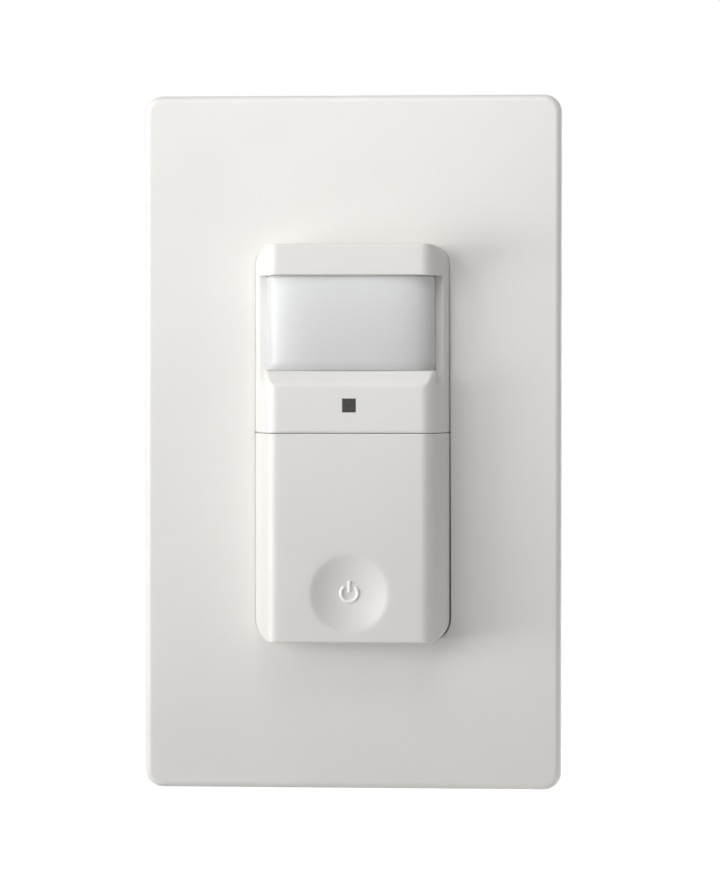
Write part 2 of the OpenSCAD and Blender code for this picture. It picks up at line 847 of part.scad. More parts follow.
// Open slot that lets a clip push onto the pivot pin from the front
module pin_slot(x) {
    slot_half = pin_r + clip_fit / 2;
    translate([x, pin_y, z_pin])
        rotate([0, 90, 0])
            cylinder(r = pin_r + clip_fit, h = clip_t + 2 * over, center = true);
    translate([x - clip_t / 2 - over, pin_y - slot_half, z_pad_back - over])
        cube([clip_t + 2 * over, 2 * slot_half, z_pin - z_pad_back + over]);
}

// Raised ring, open at the top, and bar
module power_symbol() {
    outer = symbol_d / 2;
    inner = outer - symbol_stroke;
    opening = 64;
    z_foot = z_dimple - 0.3;
    tall = symbol_raise + 0.3 + outer * outer / (2 * dimple_r);
    translate([0, dimple_y, z_foot]) {
        rotate([0, 0, 90 + opening / 2])
            rotate_extrude(angle = 360 - opening)
                translate([inner, 0])
                    square([symbol_stroke, tall]);
        translate([-symbol_stroke / 2, outer * 0.15, 0])
            cube([symbol_stroke, outer * 1.1, tall]);
    }
}

// Steel pin that the push pad turns on
module pivot_pin() {
    color("silver")
        translate([0, pin_y, z_pin])
            rotate([0, 90, 0])
                cylinder(r = pin_r, h = 2 * pin_half, center = true);
}

// Outline of either board: a wide middle and two narrow tongues, with holes for the pins between them
module board(w, z1) {
    difference() {
        union() {
            slab(w, board_mid_h, 1, z1 - board_t, z1);
            slab(board_tongue_w, board_tongue_h, 1, z1 - board_t, z1);
        }
        for (i = [0:link_pins - 1])
            rod(link_at + [0, (i - (link_pins - 1) / 2) * link_pitch], link_pin_r + 0.15,
                z1 - board_t - over, z1 + over);
    }
}

// Board with the sensor, the switch, the indicator and the dials
module control_board() {
    color("darkgreen")
        board(board_w, z_board);
}

// Metal can of the motion sensor
module pir_sensor() {
    z0 = z_board + spacer_h;
    rim_t = 0.6;
    color("silver")
        translate([0, lens_y, 0])
            difference() {
                union() {
                    rod([0, 0], can_d / 2, z0, z0 + can_h);
                    rod([0, 0], can_d / 2 + 0.3, z0, z0 + rim_t);
                }
                post([0, 0], [filter_w + 2 * part_fit, filter_h + 2 * part_fit],
                    z0 + can_h - filter_t, z0 + can_h + over);
            }
}

// Dark filter in the top of the motion sensor
module pir_filter() {
    z1 = z_board + spacer_h + can_h;
    color([0.2, 0.18, 0.2])
        post([0, lens_y], [filter_w, filter_h], z1 - filter_t, z1);
}

// Ring that holds the motion sensor up to the lens's focus
module pir_spacer() {
    color("black")
        translate([0, lens_y, 0])
            difference() {
                rod([0, 0], can_d / 2 + 0.5, z_board, z_board + spacer_h);
                rod([0, 0], can_d / 2 - 1, z_board - over, z_board + spacer_h + over);
            }
}

// Round lamp package: a rim, a body and a domed end
module lamp(at, r, tall) {
    translate([at[0], at[1], z_board]) {
        cylinder(r = r + 0.3, h = 0.8);
        cylinder(r = r, h = tall - r);
        translate([0, 0, tall - r])
            sphere(r = r);
    }
}

// Daylight sensor behind the lens
module light_sensor() {
    color("aliceblue")
        lamp([can_d / 2 + 4, lens_y - 4.6], lamp_r, led_h + 0.8);
}

// Indicator lamp under the light pipe
module indicator_led() {
    color("palegreen")
        lamp([0, window_y], lamp_r, led_h);
}

// Body of the switch under the push pad
module tact_switch() {
    top = z_board + tact_body_h;
    color("dimgray")
        difference() {
            post([0, dimple_y], [tact_w, tact_w], z_board, top);
            rod([0, dimple_y], plunger_r + part_fit, top - plunger_seat - plunger_room, top + over);
        }
}

// Plunger of the switch
module tact_plunger() {
    color("black")
        rod([0, dimple_y], plunger_r, z_board + tact_body_h - plunger_seat, z_tact);
}

// Bodies of the three dials
module dial_bodies() {
    color("royalblue")
        for (i = [-1:1])
            difference() {
                post([i * dial_pitch, dial_y], [dial_body_w, dial_body_w], z_board, dial_body_top);
                rod([i * dial_pitch, dial_y], dial_r + part_fit, dial_body_top - dial_seat,
                    dial_body_top + over);
            }
}

// One turning dial with a screwdriver slot
module dial(i) {
    slot_w = 0.8;
    slot_d = 0.7;
    z0 = dial_body_top - dial_seat + part_fit;
    z1 = dial_body_top + dial_stand;
    color("white")
        difference() {
            rod([i * dial_pitch, dial_y], dial_r, z0, z1);
            post([i * dial_pitch, dial_y + dial_r * 0.25], [slot_w, dial_r * 1.5], z1 - slot_d, z1 + over);
            post([i * dial_pitch, dial_y], [dial_r, slot_w], z1 - slot_d, z1 + over);
        }
}

module delay_dial() {
    dial(-1);
}

module range_dial() {
    dial(0);
}

module daylight_dial() {
    dial(1);
}

// Row of pins that joins the two boards
module board_link() {
    z0 = z_power;
    z1 = z_board - board_t;
    body_w = 2.5;
    color("black")
        translate([link_at[0], link_at[1], 0]) {
            post([0, 0], [body_w, link_pins * link_pitch], z0, z1);
            for (i = [0:link_pins - 1])
                rod([0, (i - (link_pins - 1) / 2) * link_pitch], link_pin_r,
                    z0 - board_t - 0.8, z_board + 0.6);
        }
}

// Board with the relay and the power supply
module power_board() {
    color("darkgreen")
        board(board_w, z_power);
}

// Relay that switches the load
module relay() {
    color("midnightblue")
        translate([relay_at[0], relay_at[1], 0])
            slab(relay_size[0], relay_size[1], 0.8, z_power, z_power + relay_size[2]);
}

// Film capacitor of the power supply
module film_capacitor() {
    color("goldenrod")
        translate([film_at[0], film_at[1], 0])
            slab(film_size[0], film_size[1], 0.6, z_power, z_power + film_size[2]);
}

// Two electrolytic capacitors, each with its waist near the board
module electrolytic_capacitors() {
    r = can_cap_d / 2;
    waist = 0.3;
    waist_z = 2;
    color("navy")
        for (at = can_caps_at)
            difference() {
                rod(at, r, z_power, z_power + can_cap_l);
                translate([at[0], at[1], z_power + waist_z])
                    rotate_extrude()
                        translate([r - waist, 0])
                            square([waist + over, 0.8]);
            }
}

// Disc that absorbs surges on the line
module surge_absorber() {
    z_mid = z_power + surge_d / 2 + 1;
    color("steelblue")
        translate([surge_at[0], surge_at[1], 0]) {
            translate([0, 0, z_mid])
                rotate([90, 0, 0])
                    cylinder(r = surge_d / 2, h = surge_t, center = true);
            for (sx = [-1, 1])
                rod([sx * surge_d / 4, 0], 0.4, z_power, z_mid);
        }
}

// Rectifier of the power supply
module rectifier() {
    color([0.15, 0.15, 0.16])
        post(rectifier_at, rectifier_size, z_power, z_power + rectifier_size[2]);
}

// Choke of the power supply, in its sleeve
module choke() {
    flange_t = 1.2;
    color([0.2, 0.2, 0.22]) {
        rod(choke_at, choke_d / 2, z_power, z_power + flange_t);
        rod(choke_at, choke_d / 2 - 0.5, z_power, z_power + choke_l);
        rod(choke_at, choke_d / 2, z_power + choke_l - flange_t, z_power + choke_l);
    }
}

// Fuse of the power supply
module fuse() {
    color("saddlebrown")
        translate([fuse_at[0], fuse_at[1], 0])
            slab(fuse_size[0], fuse_size[1], 0.8, z_power, z_power + fuse_size[2]);
}

// Puts a piece that is drawn at the right-hand side of the housing at each terminal
module at_terminals() {
    for (t = terminals)
        translate([0, t[1], z_pocket])
            mirror([t[0] > 0 ? 0 : 1, 0, 0])
                children();
}

// Brass strips: a plate in each pocket and a leg down to the power board
module terminal_strips() {
    leg_top = strip_t - strip_w / 2;
    color("goldenrod")
        at_terminals()
            difference() {
                union() {
                    translate([pocket_floor, -strip_w / 2, -strip_w / 2])
                        cube([strip_t, strip_w, strip_w]);
                    translate([strip_leg_x, -strip_leg_w / 2, -strip_w / 2])
                        cube([pocket_floor + strip_t - strip_leg_x, strip_leg_w, strip_t]);
                    translate([strip_leg_x, -strip_leg_w / 2, z_power - z_pocket])
                        cube([strip_t, strip_leg_w, leg_top - z_power + z_pocket]);
                }
                translate([pocket_floor, 0, 0])
                    rotate([0, 90, 0])
                        cylinder(r = screw_r + thread_fit, h = 4 * strip_t, center = true);
            }
}

// Clamp plates that press the wires against the strips
module terminal_clamps() {
    color("silver")
        at_terminals()
            difference() {
                translate([pocket_floor + strip_t, -clamp_w / 2, -clamp_w / 2])
                    cube([clamp_t, clamp_w, clamp_w]);
                translate([pocket_floor + strip_t, 0, 0])
                    rotate([0, 90, 0])
                        cylinder(r = screw_r + seat_gap, h = 4 * clamp_t, center = true);
            }
}

// Terminal screws
module terminal_screws() {
    color("khaki")
        at_terminals()
            translate([pocket_floor + strip_t + clamp_t, 0, 0])
                rotate([0, 90, 0])
                    pan_screw(terminal_head_d / 2, terminal_head_h, screw_r, terminal_shank_l);
}

// Tub that closes the device at the back, with pockets for the terminals and columns for its screws
module rear_housing() {
    inner_w = rear_w - 2 * rear_wall;
    inner_h = rear_h - 2 * rear_wall;
    floor_z = -rear_d + rear_wall;
    block_w = pocket_w + 2 * pocket_wall;
    label = [24, 30, 0.4];
    color([0.17, 0.17, 0.18])
        difference() {
            union() {
                difference() {
                    mirror([0, 0, 1])
                        cushion(rear_w, rear_h, rear_corner_r, rear_edge_r, rear_d);
                    slab(inner_w, inner_h, 1.2, floor_z, over);
                }
                intersection() {
                    at_corners(case_x, case_y)
                        rod([0, 0], column_r, floor_z - 0.2, 0);
                    slab(rear_w - rear_wall, rear_h - rear_wall, 1.2, floor_z - 0.2, 0);
                }
                at_terminals()
                    translate([pocket_floor - pocket_wall, -block_w / 2, -block_w / 2])
                        cube([rear_w / 2 - rear_wall / 2 - pocket_floor + pocket_wall, block_w, block_w]);
                board_ledges(inner_w, floor_z);
            }
            at_terminals()
                terminal_pocket();
            at_corners(case_x, case_y) {
                rod([0, 0], case_hole_r, -rear_d - over, over);
                rod([0, 0], column_bore_r, -rear_d - over, case_seat);
            }
            slab(label[0], label[1], 2, -rear_d - over, -rear_d + label[2]);
        }
}

// Ledges for the control board and posts for the power board
module board_ledges(inner_w, floor_z) {
    ledge_x = (board_w / 2 - 1 + inner_w / 2) / 2 + 0.2;
    ledge_w = inner_w / 2 - board_w / 2 + 1 + 0.4;
    ledge_y = board_mid_h / 2 - 3.4;
    for (sx = [-1, 1], sy = [-1, 1]) {
        post([sx * ledge_x, sy * ledge_y], [ledge_w, 4], -8, z_board - board_t);
        rod([sx * (board_w / 2 - 4), sy * ledge_y], 1.8, floor_z - 0.2, z_power - board_t);
    }
}

// Space that a terminal takes out of the housing's side: the pocket, the screw's hole and the strip's slot
module terminal_pocket() {
    slot_w = strip_leg_w + 2 * seat_gap;
    back = pocket_floor - pocket_wall - over;
    translate([pocket_floor, -pocket_w / 2, -pocket_w / 2])
        cube([pocket_d + over, pocket_w, pocket_w]);
    translate([back, 0, 0])
        rotate([0, 90, 0])
            cylinder(r = screw_r + seat_gap, h = pocket_floor - back + over);
    translate([back, -slot_w / 2, -strip_w / 2 - seat_gap])
        cube([pocket_floor - back + over, slot_w, strip_t + 2 * seat_gap]);
}

// Screws that hold the rear housing, the yoke and the front cover together
module housing_screws() {
    color("silver")
        at_corners(case_x, case_y)
            translate([0, 0, case_seat])
                rotate([180, 0, 0])
                    pan_screw(case_head_r, case_head_h, case_r, case_screw_l);
}

on_wall() face_plate();
on_wall() snap_frame();
on_wall() plate_screws();
on_wall() yoke();
on_wall() box_screws();
on_wall() ground_screw();
on_wall() front_cover();
on_wall() lens();
on_wall() lens_retainer();
on_wall() indicator_window();
on_wall() push_pad();
on_wall() pivot_pin();
on_wall() control_board();
on_wall() pir_sensor();
on_wall() pir_filter();
on_wall() pir_spacer();
on_wall() light_sensor();
on_wall() indicator_led();
on_wall() tact_switch();
on_wall() tact_plunger();
on_wall() dial_bodies();
on_wall() delay_dial();
on_wall() range_dial();
on_wall() daylight_dial();
on_wall() board_link();
on_wall() power_board();
on_wall() relay();
on_wall() film_capacitor();
on_wall() electrolytic_capacitors();
on_wall() surge_absorber();
on_wall() rectifier();
on_wall() choke();
on_wall() fuse();
on_wall() terminal_strips();
on_wall() terminal_clamps();
on_wall() terminal_screws();
on_wall() rear_housing();
on_wall() housing_screws();
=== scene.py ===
# %% [markdown]
# # A motion sensor light switch, dressed for the camera
# The switch is already built as a CAD model: every piece has its size, its place and the body that it
# moves with. This lesson loads that model as a fixed frame and gives it its looks. Pieces whose finished
# edges matter to the eye are built again here as finer meshes in the same place; the others keep their
# CAD shape and get rounded edges and a finish.

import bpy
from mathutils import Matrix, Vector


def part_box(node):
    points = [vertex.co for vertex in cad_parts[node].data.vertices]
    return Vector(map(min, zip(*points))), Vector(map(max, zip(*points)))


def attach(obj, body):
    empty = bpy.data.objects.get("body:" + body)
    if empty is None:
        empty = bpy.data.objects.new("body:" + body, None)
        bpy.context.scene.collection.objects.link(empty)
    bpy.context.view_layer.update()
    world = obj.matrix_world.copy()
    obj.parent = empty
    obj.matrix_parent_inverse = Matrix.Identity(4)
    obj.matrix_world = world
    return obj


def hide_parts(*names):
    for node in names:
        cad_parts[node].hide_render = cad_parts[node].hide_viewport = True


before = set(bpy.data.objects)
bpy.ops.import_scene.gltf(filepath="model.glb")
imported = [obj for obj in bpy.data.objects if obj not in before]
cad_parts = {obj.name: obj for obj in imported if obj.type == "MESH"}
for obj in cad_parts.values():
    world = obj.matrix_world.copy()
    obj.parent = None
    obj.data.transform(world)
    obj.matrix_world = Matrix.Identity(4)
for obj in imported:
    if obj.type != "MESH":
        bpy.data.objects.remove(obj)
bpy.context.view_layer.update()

# %% [markdown]
# The switch hangs on a wall, so its maker thinks in three directions: to the right, up, and out of the
# wall, all in millimetres. Blender works in metres, with the front of this model looking along -Y. Two
# small helpers translate between them, so that every later cell can use the maker's words. The sizes
# come from the frame, which keeps this file in step with the CAD model.

# %% Millimetres, directions and sizes
import math
from collections import namedtuple

import bmesh
import bpy
from mathutils import Vector

MM = 0.001


class Extent(namedtuple("Extent", "left right low high back front")):
    """How far something reaches in the maker's directions, with its sizes and its middle."""
    width = property(lambda self: self.right - self.left)
    height = property(lambda self: self.high - self.low)
    depth = property(lambda self: self.front - self.back)
    x = property(lambda self: (self.left + self.right) / 2)
    up = property(lambda self: (self.low + self.high) / 2)
    out = property(lambda self: (self.back + self.front) / 2)


def at(x, up, out):
    """The point that lies x to the right, up, and out of the wall, in millimetres."""
    return Vector((x, -out, up)) * MM


def extent(node):
    """How far a CAD piece reaches, in millimetres."""
    lowest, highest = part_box(node)
    return Extent(lowest.x / MM, highest.x / MM, lowest.z / MM, highest.z / MM,
                  -highest.y / MM, -lowest.y / MM)


plate = extent("face_plate")
insert = extent("front_cover")
pad = extent("push_pad")
print(f"plate {plate.width:.1f} x {plate.height:.1f} mm, insert {insert.width:.1f} x {insert.height:.1f} mm")

# %% [markdown]
# ## The camera
# The picture shows the switch almost square on. The sides of the raised insert tell where the camera
# stood: its right flank looks wider than its left one, so the camera was a few degrees to the right, and
# neither its top nor its bottom shows, so it was about level. A long lens at arm's length keeps the edges
# of the plate nearly parallel, as they are in the picture. The picture is 873 pixels high, which is its
# longer side, so the lens is worked out from that and from how many pixels a millimetre takes.

# %% Place the camera
PICTURE_H = 873
PIXELS_PER_MM = 5.93
CAMERA_DISTANCE = 600
CAMERA_RIGHT, CAMERA_UP = math.radians(4), math.radians(1)
SENSOR = 36
AIM_RIGHT, AIM_UP = 1.3, 1.0

scene = bpy.context.scene


def add_object(name, data):
    """Puts a new object with this data into the scene."""
    thing = bpy.data.objects.new(name, data)
    scene.collection.objects.link(thing)
    return thing


def point_at(thing, target):
    """Turns a camera or a lamp towards a point."""
    thing.rotation_mode = "QUATERNION"
    thing.rotation_quaternion = (target - thing.location).to_track_quat("-Z", "Y")


aim = at(AIM_RIGHT, AIM_UP, plate.front)
towards = Vector((math.sin(CAMERA_RIGHT) * math.cos(CAMERA_UP), -math.cos(CAMERA_RIGHT) * math.cos(CAMERA_UP),
                  math.sin(CAMERA_UP)))
camera = add_object("camera", bpy.data.cameras.new("camera"))
camera.data.sensor_width = SENSOR
camera.data.lens = SENSOR * CAMERA_DISTANCE * PIXELS_PER_MM / PICTURE_H
camera.location = aim + towards * CAMERA_DISTANCE * MM
point_at(camera, aim)
scene.camera = camera
print(f"camera lens {camera.data.lens:.0f} mm")

# %% [markdown]
# ## Light and stage
# The picture is lit far round from the left: the left flank of the insert is the brightest place, the
# right flank the darkest, and a shadow lies to the right of it. The plate also fades from its top to its
# foot. Area lamps near the object fade in the same way: a key lamp on the lower left, a higher one
# further out that softens its shadow and lights the plate's top, and a weak one above. The key lamp is
# just strong enough for the left flank to come close to white. A rim lamp behind keeps the back and the
# far edges of the plate from going dark, as a white wall would, and a faint lamp low on the right lifts
# the lower part of the shaded flank. Each lamp has a place and an aim in the maker's directions, a size
# in millimetres, the angle of its beam in degrees and a power in watts.

# %% Hang the lamps
Lamp = namedtuple("Lamp", "place aim size beam power")
LAMPS = {
    "key_lamp": Lamp((-420, -40, 200), (0, 10, 6), 200, 80, 0.265),
    "high_lamp": Lamp((-260, 130, 330), (10, 95, 6), 240, 76, 0.165),
    "top_lamp": Lamp((0, 190, 150), (10, 75, 6), 120, 70, 0.0305),
    "rim_lamp": Lamp((260, -100, -260), (20, -20, 0), 500, 180, 1.4),
    "side_lamp": Lamp((110, -120, 13), (20, -40, 6), 20, 90, 0.016),
}

for name, plan in LAMPS.items():
    lamp = add_object(name, bpy.data.lights.new(name, "AREA"))
    lamp.data.size = plan.size * MM
    lamp.data.spread = math.radians(plan.beam)
    lamp.data.energy = plan.power
    lamp.location = at(*plan.place)
    point_at(lamp, at(*plan.aim))
print("lamps:", ", ".join(f"{name} {plan.power} W" for name, plan in LAMPS.items()))

# %% [markdown]
# A plain, slightly warm world fills the shadows. The camera itself sees a white world, so the background
# needs no more light on the object. What mirrors and clear plastic show is that white world too. A switch
# on the kind of ray tells the two worlds apart.

# %% Fill the room with light
WORLD_FILL = 0.24
WORLD_TINT = (1, 0.985, 0.95, 1)
WHITE = (1, 1, 1, 1)


def ray_switch(tree):
    """1 for rays that look straight at something, in a mirror or through glass, and 0 for light."""
    path = tree.nodes.new("ShaderNodeLightPath")
    seen = path.outputs["Is Camera Ray"]
    for name in ("Is Glossy Ray", "Is Transmission Ray"):
        larger = tree.nodes.new("ShaderNodeMath")
        larger.operation = "MAXIMUM"
        tree.links.new(seen, larger.inputs[0])
        tree.links.new(path.outputs[name], larger.inputs[1])
        seen = larger.outputs[0]
    return seen


scene.view_settings.view_transform = "Standard"
scene.world = bpy.data.worlds.new("studio")
scene.world.use_nodes = True
studio = scene.world.node_tree
fill = studio.nodes["Background"]
fill.inputs["Color"].default_value = WORLD_TINT
fill.inputs["Strength"].default_value = WORLD_FILL
backdrop = studio.nodes.new("ShaderNodeBackground")
backdrop.inputs["Color"].default_value = WHITE
either = studio.nodes.new("ShaderNodeMixShader")
for i, source in enumerate((ray_switch(studio), fill.outputs[0], backdrop.outputs[0])):
    studio.links.new(source, either.inputs[i])
studio.links.new(either.outputs[0], studio.nodes["World Output"].inputs["Surface"])
print("world light:", WORLD_FILL)

# %% [markdown]
# The floor is a wide pale sheet some way below the plate, because the switch is shown as if it hung in
# front of a white wall. To the camera the sheet glows a little, which brings it up to white where it is
# lit, and leaves a soft grey shadow where the object takes light away.

# %% Lay the floor
FLOOR_DROP = 60
FLOOR_HALF = 3000
FLOOR_GREY = (0.86, 0.86, 0.86, 1)
FLOOR_GLOW = 0.84
CORNERS = ((-1, -1), (1, -1), (1, 1), (-1, 1))

sheet = bmesh.new()
sheet.faces.new([sheet.verts.new(at(x * FLOOR_HALF, plate.low - FLOOR_DROP, -y * FLOOR_HALF))
                 for x, y in CORNERS])
floor = add_object("floor", bpy.data.meshes.new("floor"))
sheet.to_mesh(floor.data)
sheet.free()

paper = bpy.data.materials.new("floor_paper")
paper.use_nodes = True
tree = paper.node_tree
tree.nodes.remove(tree.nodes["Principled BSDF"])
matt = tree.nodes.new("ShaderNodeBsdfDiffuse")
matt.inputs["Color"].default_value = FLOOR_GREY
glow = tree.nodes.new("ShaderNodeEmission")
glow_share = tree.nodes.new("ShaderNodeMapRange")
glow_share.inputs["To Max"].default_value = FLOOR_GLOW
both = tree.nodes.new("ShaderNodeAddShader")
tree.links.new(ray_switch(tree), glow_share.inputs["Value"])
tree.links.new(glow_share.outputs[0], glow.inputs["Strength"])
tree.links.new(matt.outputs[0], both.inputs[0])
tree.links.new(glow.outputs[0], both.inputs[1])
tree.links.new(both.outputs[0], tree.nodes["Material Output"].inputs["Surface"])
floor.data.materials.append(paper)
print(f"floor {FLOOR_DROP} mm below the plate")

# %% [markdown]
# ## Finishes
# A finish is a material with a few nodes. Colours are written here as a picture editor shows them, 0 to
# 255, because that is how a maker compares them. Blender works with the light itself, so a helper
# translates. Another one sets several inputs of a node by name, which keeps the next cells short.

# %% Colours and empty finishes
def paint(red, green, blue):
    """A colour from a picture editor as Blender's linear light."""
    def linear(value):
        share = value / 255
        return share / 12.92 if share <= 0.04045 else ((share + 0.055) / 1.055) ** 2.4
    return (linear(red), linear(green), linear(blue), 1)


def shaded(colour, share):
    """The same colour with its light multiplied by share."""
    return tuple(channel * share for channel in colour[:3]) + (1,)


def set_inputs(node, values):
    """Sets several inputs of a node by their names."""
    for name, value in values.items():
        node.inputs[name].default_value = value


def new_finish(name):
    """An empty finish: the material, its node tree and its shader."""
    finish = bpy.data.materials.new(name)
    finish.use_nodes = True
    return finish, finish.node_tree, finish.node_tree.nodes["Principled BSDF"]


print("colour tools ready: paint, shaded, set_inputs, new_finish")

# %% [markdown]
# Almost everything in sight is moulded plastic or metal, and neither is one flat colour: gloss drifts
# across a face, and a mould or a roller leaves a fine grain. A picture laid over the piece could show
# that, but it would have seams at the edges. A noise in object space has none, has its own scale in
# millimetres, and stays on the piece when the piece moves. Small helpers turn a noise into a colour, a
# gloss or a raised surface.

# %% Tools for noise
def on_piece(tree):
    """Coordinates that are fixed to the piece."""
    return tree.nodes.new("ShaderNodeTexCoord").outputs["Object"]


def speckle(tree, size, detail=2, stretch=(1, 1, 1)):
    """A noise whose spots are about size millimetres wide."""
    mapping = tree.nodes.new("ShaderNodeMapping")
    noise = tree.nodes.new("ShaderNodeTexNoise")
    set_inputs(mapping, {"Scale": stretch})
    set_inputs(noise, {"Scale": 1 / (size * MM), "Detail": detail})
    tree.links.new(on_piece(tree), mapping.inputs["Vector"])
    tree.links.new(mapping.outputs[0], noise.inputs["Vector"])
    return noise.outputs[0]


def spread(tree, source, low, high, start=0.3, end=0.7):
    """Turns a noise into a value between low and high."""
    scale = tree.nodes.new("ShaderNodeMapRange")
    set_inputs(scale, {"From Min": start, "From Max": end, "To Min": low, "To Max": high})
    tree.links.new(source, scale.inputs["Value"])
    return scale.outputs[0]


def tinted(tree, source, first, second, start=0.35, end=0.65):
    """Turns a noise into a colour between first and second."""
    ramp = tree.nodes.new("ShaderNodeValToRGB")
    for element, place, colour in zip(ramp.color_ramp.elements, (start, end), (first, second)):
        element.position, element.color = place, colour
    tree.links.new(source, ramp.inputs[0])
    return ramp.outputs[0]


def dress(tree, shader, colour, gloss):
    """Links a colour and a roughness to a finish's shader."""
    tree.links.new(colour, shader.inputs["Base Color"])
    tree.links.new(gloss, shader.inputs["Roughness"])


def raised(tree, shader, source, height, strength=1.0):
    """Lets a noise raise the surface by up to height millimetres."""
    bump = tree.nodes.new("ShaderNodeBump")
    set_inputs(bump, {"Distance": height * MM, "Strength": strength})
    tree.links.new(source, bump.inputs["Height"])
    tree.links.new(bump.outputs[0], shader.inputs["Normal"])


print("noise tools ready: speckle, spread, tinted, dress, raised")

# %% [markdown]
# A mould leaves more than one colour: the gloss drifts across a face, pigment is never mixed perfectly,
# and a spark-eroded mould prints a very fine grain. The white pieces differ a little, because each comes
# from its own mould. A row of the table gives a plastic's colour and gloss and, where it isn't the usual
# one, the width and height of its grain, how far its colour drifts and how far its gloss does.

# %% Moulded plastics
DRIFT_SPOT, GLOSS_SPOT = 22, 3.5
GRAIN_DETAIL, GRAIN_STRENGTH = 3, 0.6
MOULDED = {
    "plate_white": ((233, 231, 228), 0.46, 0.2),
    "frame_white": ((224, 223, 219), 0.5, 0.24),
    "cover_white": ((230, 229, 226), 0.4),
    "pad_white": ((228, 227, 224), 0.42),
    "symbol_white": ((249, 249, 248), 0.35),
    "dial_white": ((236, 234, 226), 0.35),
    "black_plastic": ((38, 38, 40), 0.45),
    "rear_charcoal": ((52, 53, 56), 0.55, 0.45, 0.02, 0.93, 0.015),
    "blue_plastic": ((32, 84, 156), 0.35),
    "relay_blue": ((34, 48, 92), 0.3),
    "film_yellow": ((214, 164, 52), 0.28),
    "capacitor_sleeve": ((36, 42, 66), 0.25),
    "surge_blue": ((62, 108, 160), 0.4, 0.5, 0.03),
    "fuse_brown": ((104, 66, 42), 0.35),
}


def moulded(name, colour, gloss, grain=0.16, depth=0.006, drift=0.97, mottle=0.05):
    """Moulded plastic: slow drift of colour and gloss, and a fine printed grain."""
    finish, tree, shader = new_finish(name)
    dress(tree, shader, tinted(tree, speckle(tree, DRIFT_SPOT), shaded(colour, drift), colour),
          spread(tree, speckle(tree, GLOSS_SPOT), gloss - mottle, gloss + mottle))
    raised(tree, shader, speckle(tree, grain, GRAIN_DETAIL), depth, GRAIN_STRENGTH)
    return finish


finishes = {name: moulded(name, paint(*colour), *look) for name, (colour, *look) in MOULDED.items()}
print("moulded finishes:", len(finishes))

# %% [markdown]
# Metals carry their colour in the reflection. Zinc-plated steel shows the rolling of the sheet as fine
# streaks in one direction and a faint cloud in the plating; brass is warmer and picks up dull spots. A
# picture of brushed steel could give the streaks, but it would repeat. A noise that is stretched along
# one axis doesn't.

# %% Metals
CLOUD_SPOT, CLOUD_DETAIL, CLOUD_SHADE = 4, 4, 0.82
STREAK_SPOT, STREAK_DETAIL, STREAK_DULL, STREAK_BRIGHT = 0.5, 3, 0.07, 0.05
SCRATCH_SPOT, SCRATCH_DEPTH, SCRATCH_STRENGTH = 0.18, 0.002, 0.2
ROLLED = (1, 1, 0.06)
METALS = {
    "steel": ((200, 200, 196), 0.32, ROLLED),
    "brass": ((214, 176, 104), 0.3),
    "can_metal": ((208, 206, 200), 0.22),
    "green_screw": ((64, 132, 82), 0.34),
}


def metal(name, colour, gloss, streak=(1, 1, 1)):
    """Plated or bare metal with rolled streaks and a cloudy surface."""
    finish, tree, shader = new_finish(name)
    set_inputs(shader, {"Metallic": 1})
    cloud = speckle(tree, CLOUD_SPOT, CLOUD_DETAIL)
    streaks = speckle(tree, STREAK_SPOT, STREAK_DETAIL, streak)
    dress(tree, shader, tinted(tree, cloud, shaded(colour, CLOUD_SHADE), colour),
          spread(tree, streaks, gloss - STREAK_BRIGHT, gloss + STREAK_DULL))
    raised(tree, shader, speckle(tree, SCRATCH_SPOT, stretch=streak), SCRATCH_DEPTH, SCRATCH_STRENGTH)
    return finish


finishes |= {name: metal(name, paint(*colour), *look) for name, (colour, *look) in METALS.items()}
print("metals:", ", ".join(METALS))

# %% [markdown]
# A circuit board is green lacquer over copper. The copper shows through as a slightly lighter pattern of
# tracks; a brick pattern with thin joints, turned on its side, is close enough for a board that is only
# seen through gaps. Lamps are clear or tinted plastic, so light passes through them.

# %% Boards and lamps
TRACK_SPACING, TRACK_W, TRACK_SOFT, TRACK_H = 3.2, 0.06, 0.2, 0.03
LACQUER_DARK, LACQUER_PALE, TRACK_GREEN = paint(18, 84, 48), paint(22, 92, 54), paint(58, 134, 78)
LACQUER_SPOT, LACQUER_GLOSS = 1.5, (0.24, 0.36)
LAMP_CLEAR, LAMP_IOR, LAMP_SHADE = 0.7, 1.5, 0.9
FLOW_SPOT, FLOW_GLOSS_SPOT, FLOW_GLOSS = 2, 0.8, (0.06, 0.16)
LAMP_TINTS = {"clear_lamp": (226, 232, 236), "green_lamp": (150, 214, 160)}


def circuit_board(name):
    """Green solder lacquer with lighter tracks under it."""
    finish, tree, shader = new_finish(name)
    turn = tree.nodes.new("ShaderNodeMapping")
    set_inputs(turn, {"Rotation": (math.radians(90), 0, 0)})
    tracks = tree.nodes.new("ShaderNodeTexBrick")
    set_inputs(tracks, {"Scale": 1 / (TRACK_SPACING * MM), "Mortar Size": TRACK_W,
                        "Mortar Smooth": TRACK_SOFT, "Color1": LACQUER_DARK, "Color2": LACQUER_PALE,
                        "Mortar": TRACK_GREEN})
    tree.links.new(on_piece(tree), turn.inputs["Vector"])
    tree.links.new(turn.outputs[0], tracks.inputs["Vector"])
    dress(tree, shader, tracks.outputs["Color"], spread(tree, speckle(tree, LACQUER_SPOT), *LACQUER_GLOSS))
    raised(tree, shader, tracks.outputs["Fac"], TRACK_H)
    return finish


def lamp_plastic(name, colour):
    """Clear or tinted lamp body with faint flow marks."""
    finish, tree, shader = new_finish(name)
    set_inputs(shader, {"Transmission Weight": LAMP_CLEAR, "IOR": LAMP_IOR})
    dress(tree, shader, tinted(tree, speckle(tree, FLOW_SPOT), shaded(colour, LAMP_SHADE), colour),
          spread(tree, speckle(tree, FLOW_GLOSS_SPOT), *FLOW_GLOSS))
    return finish


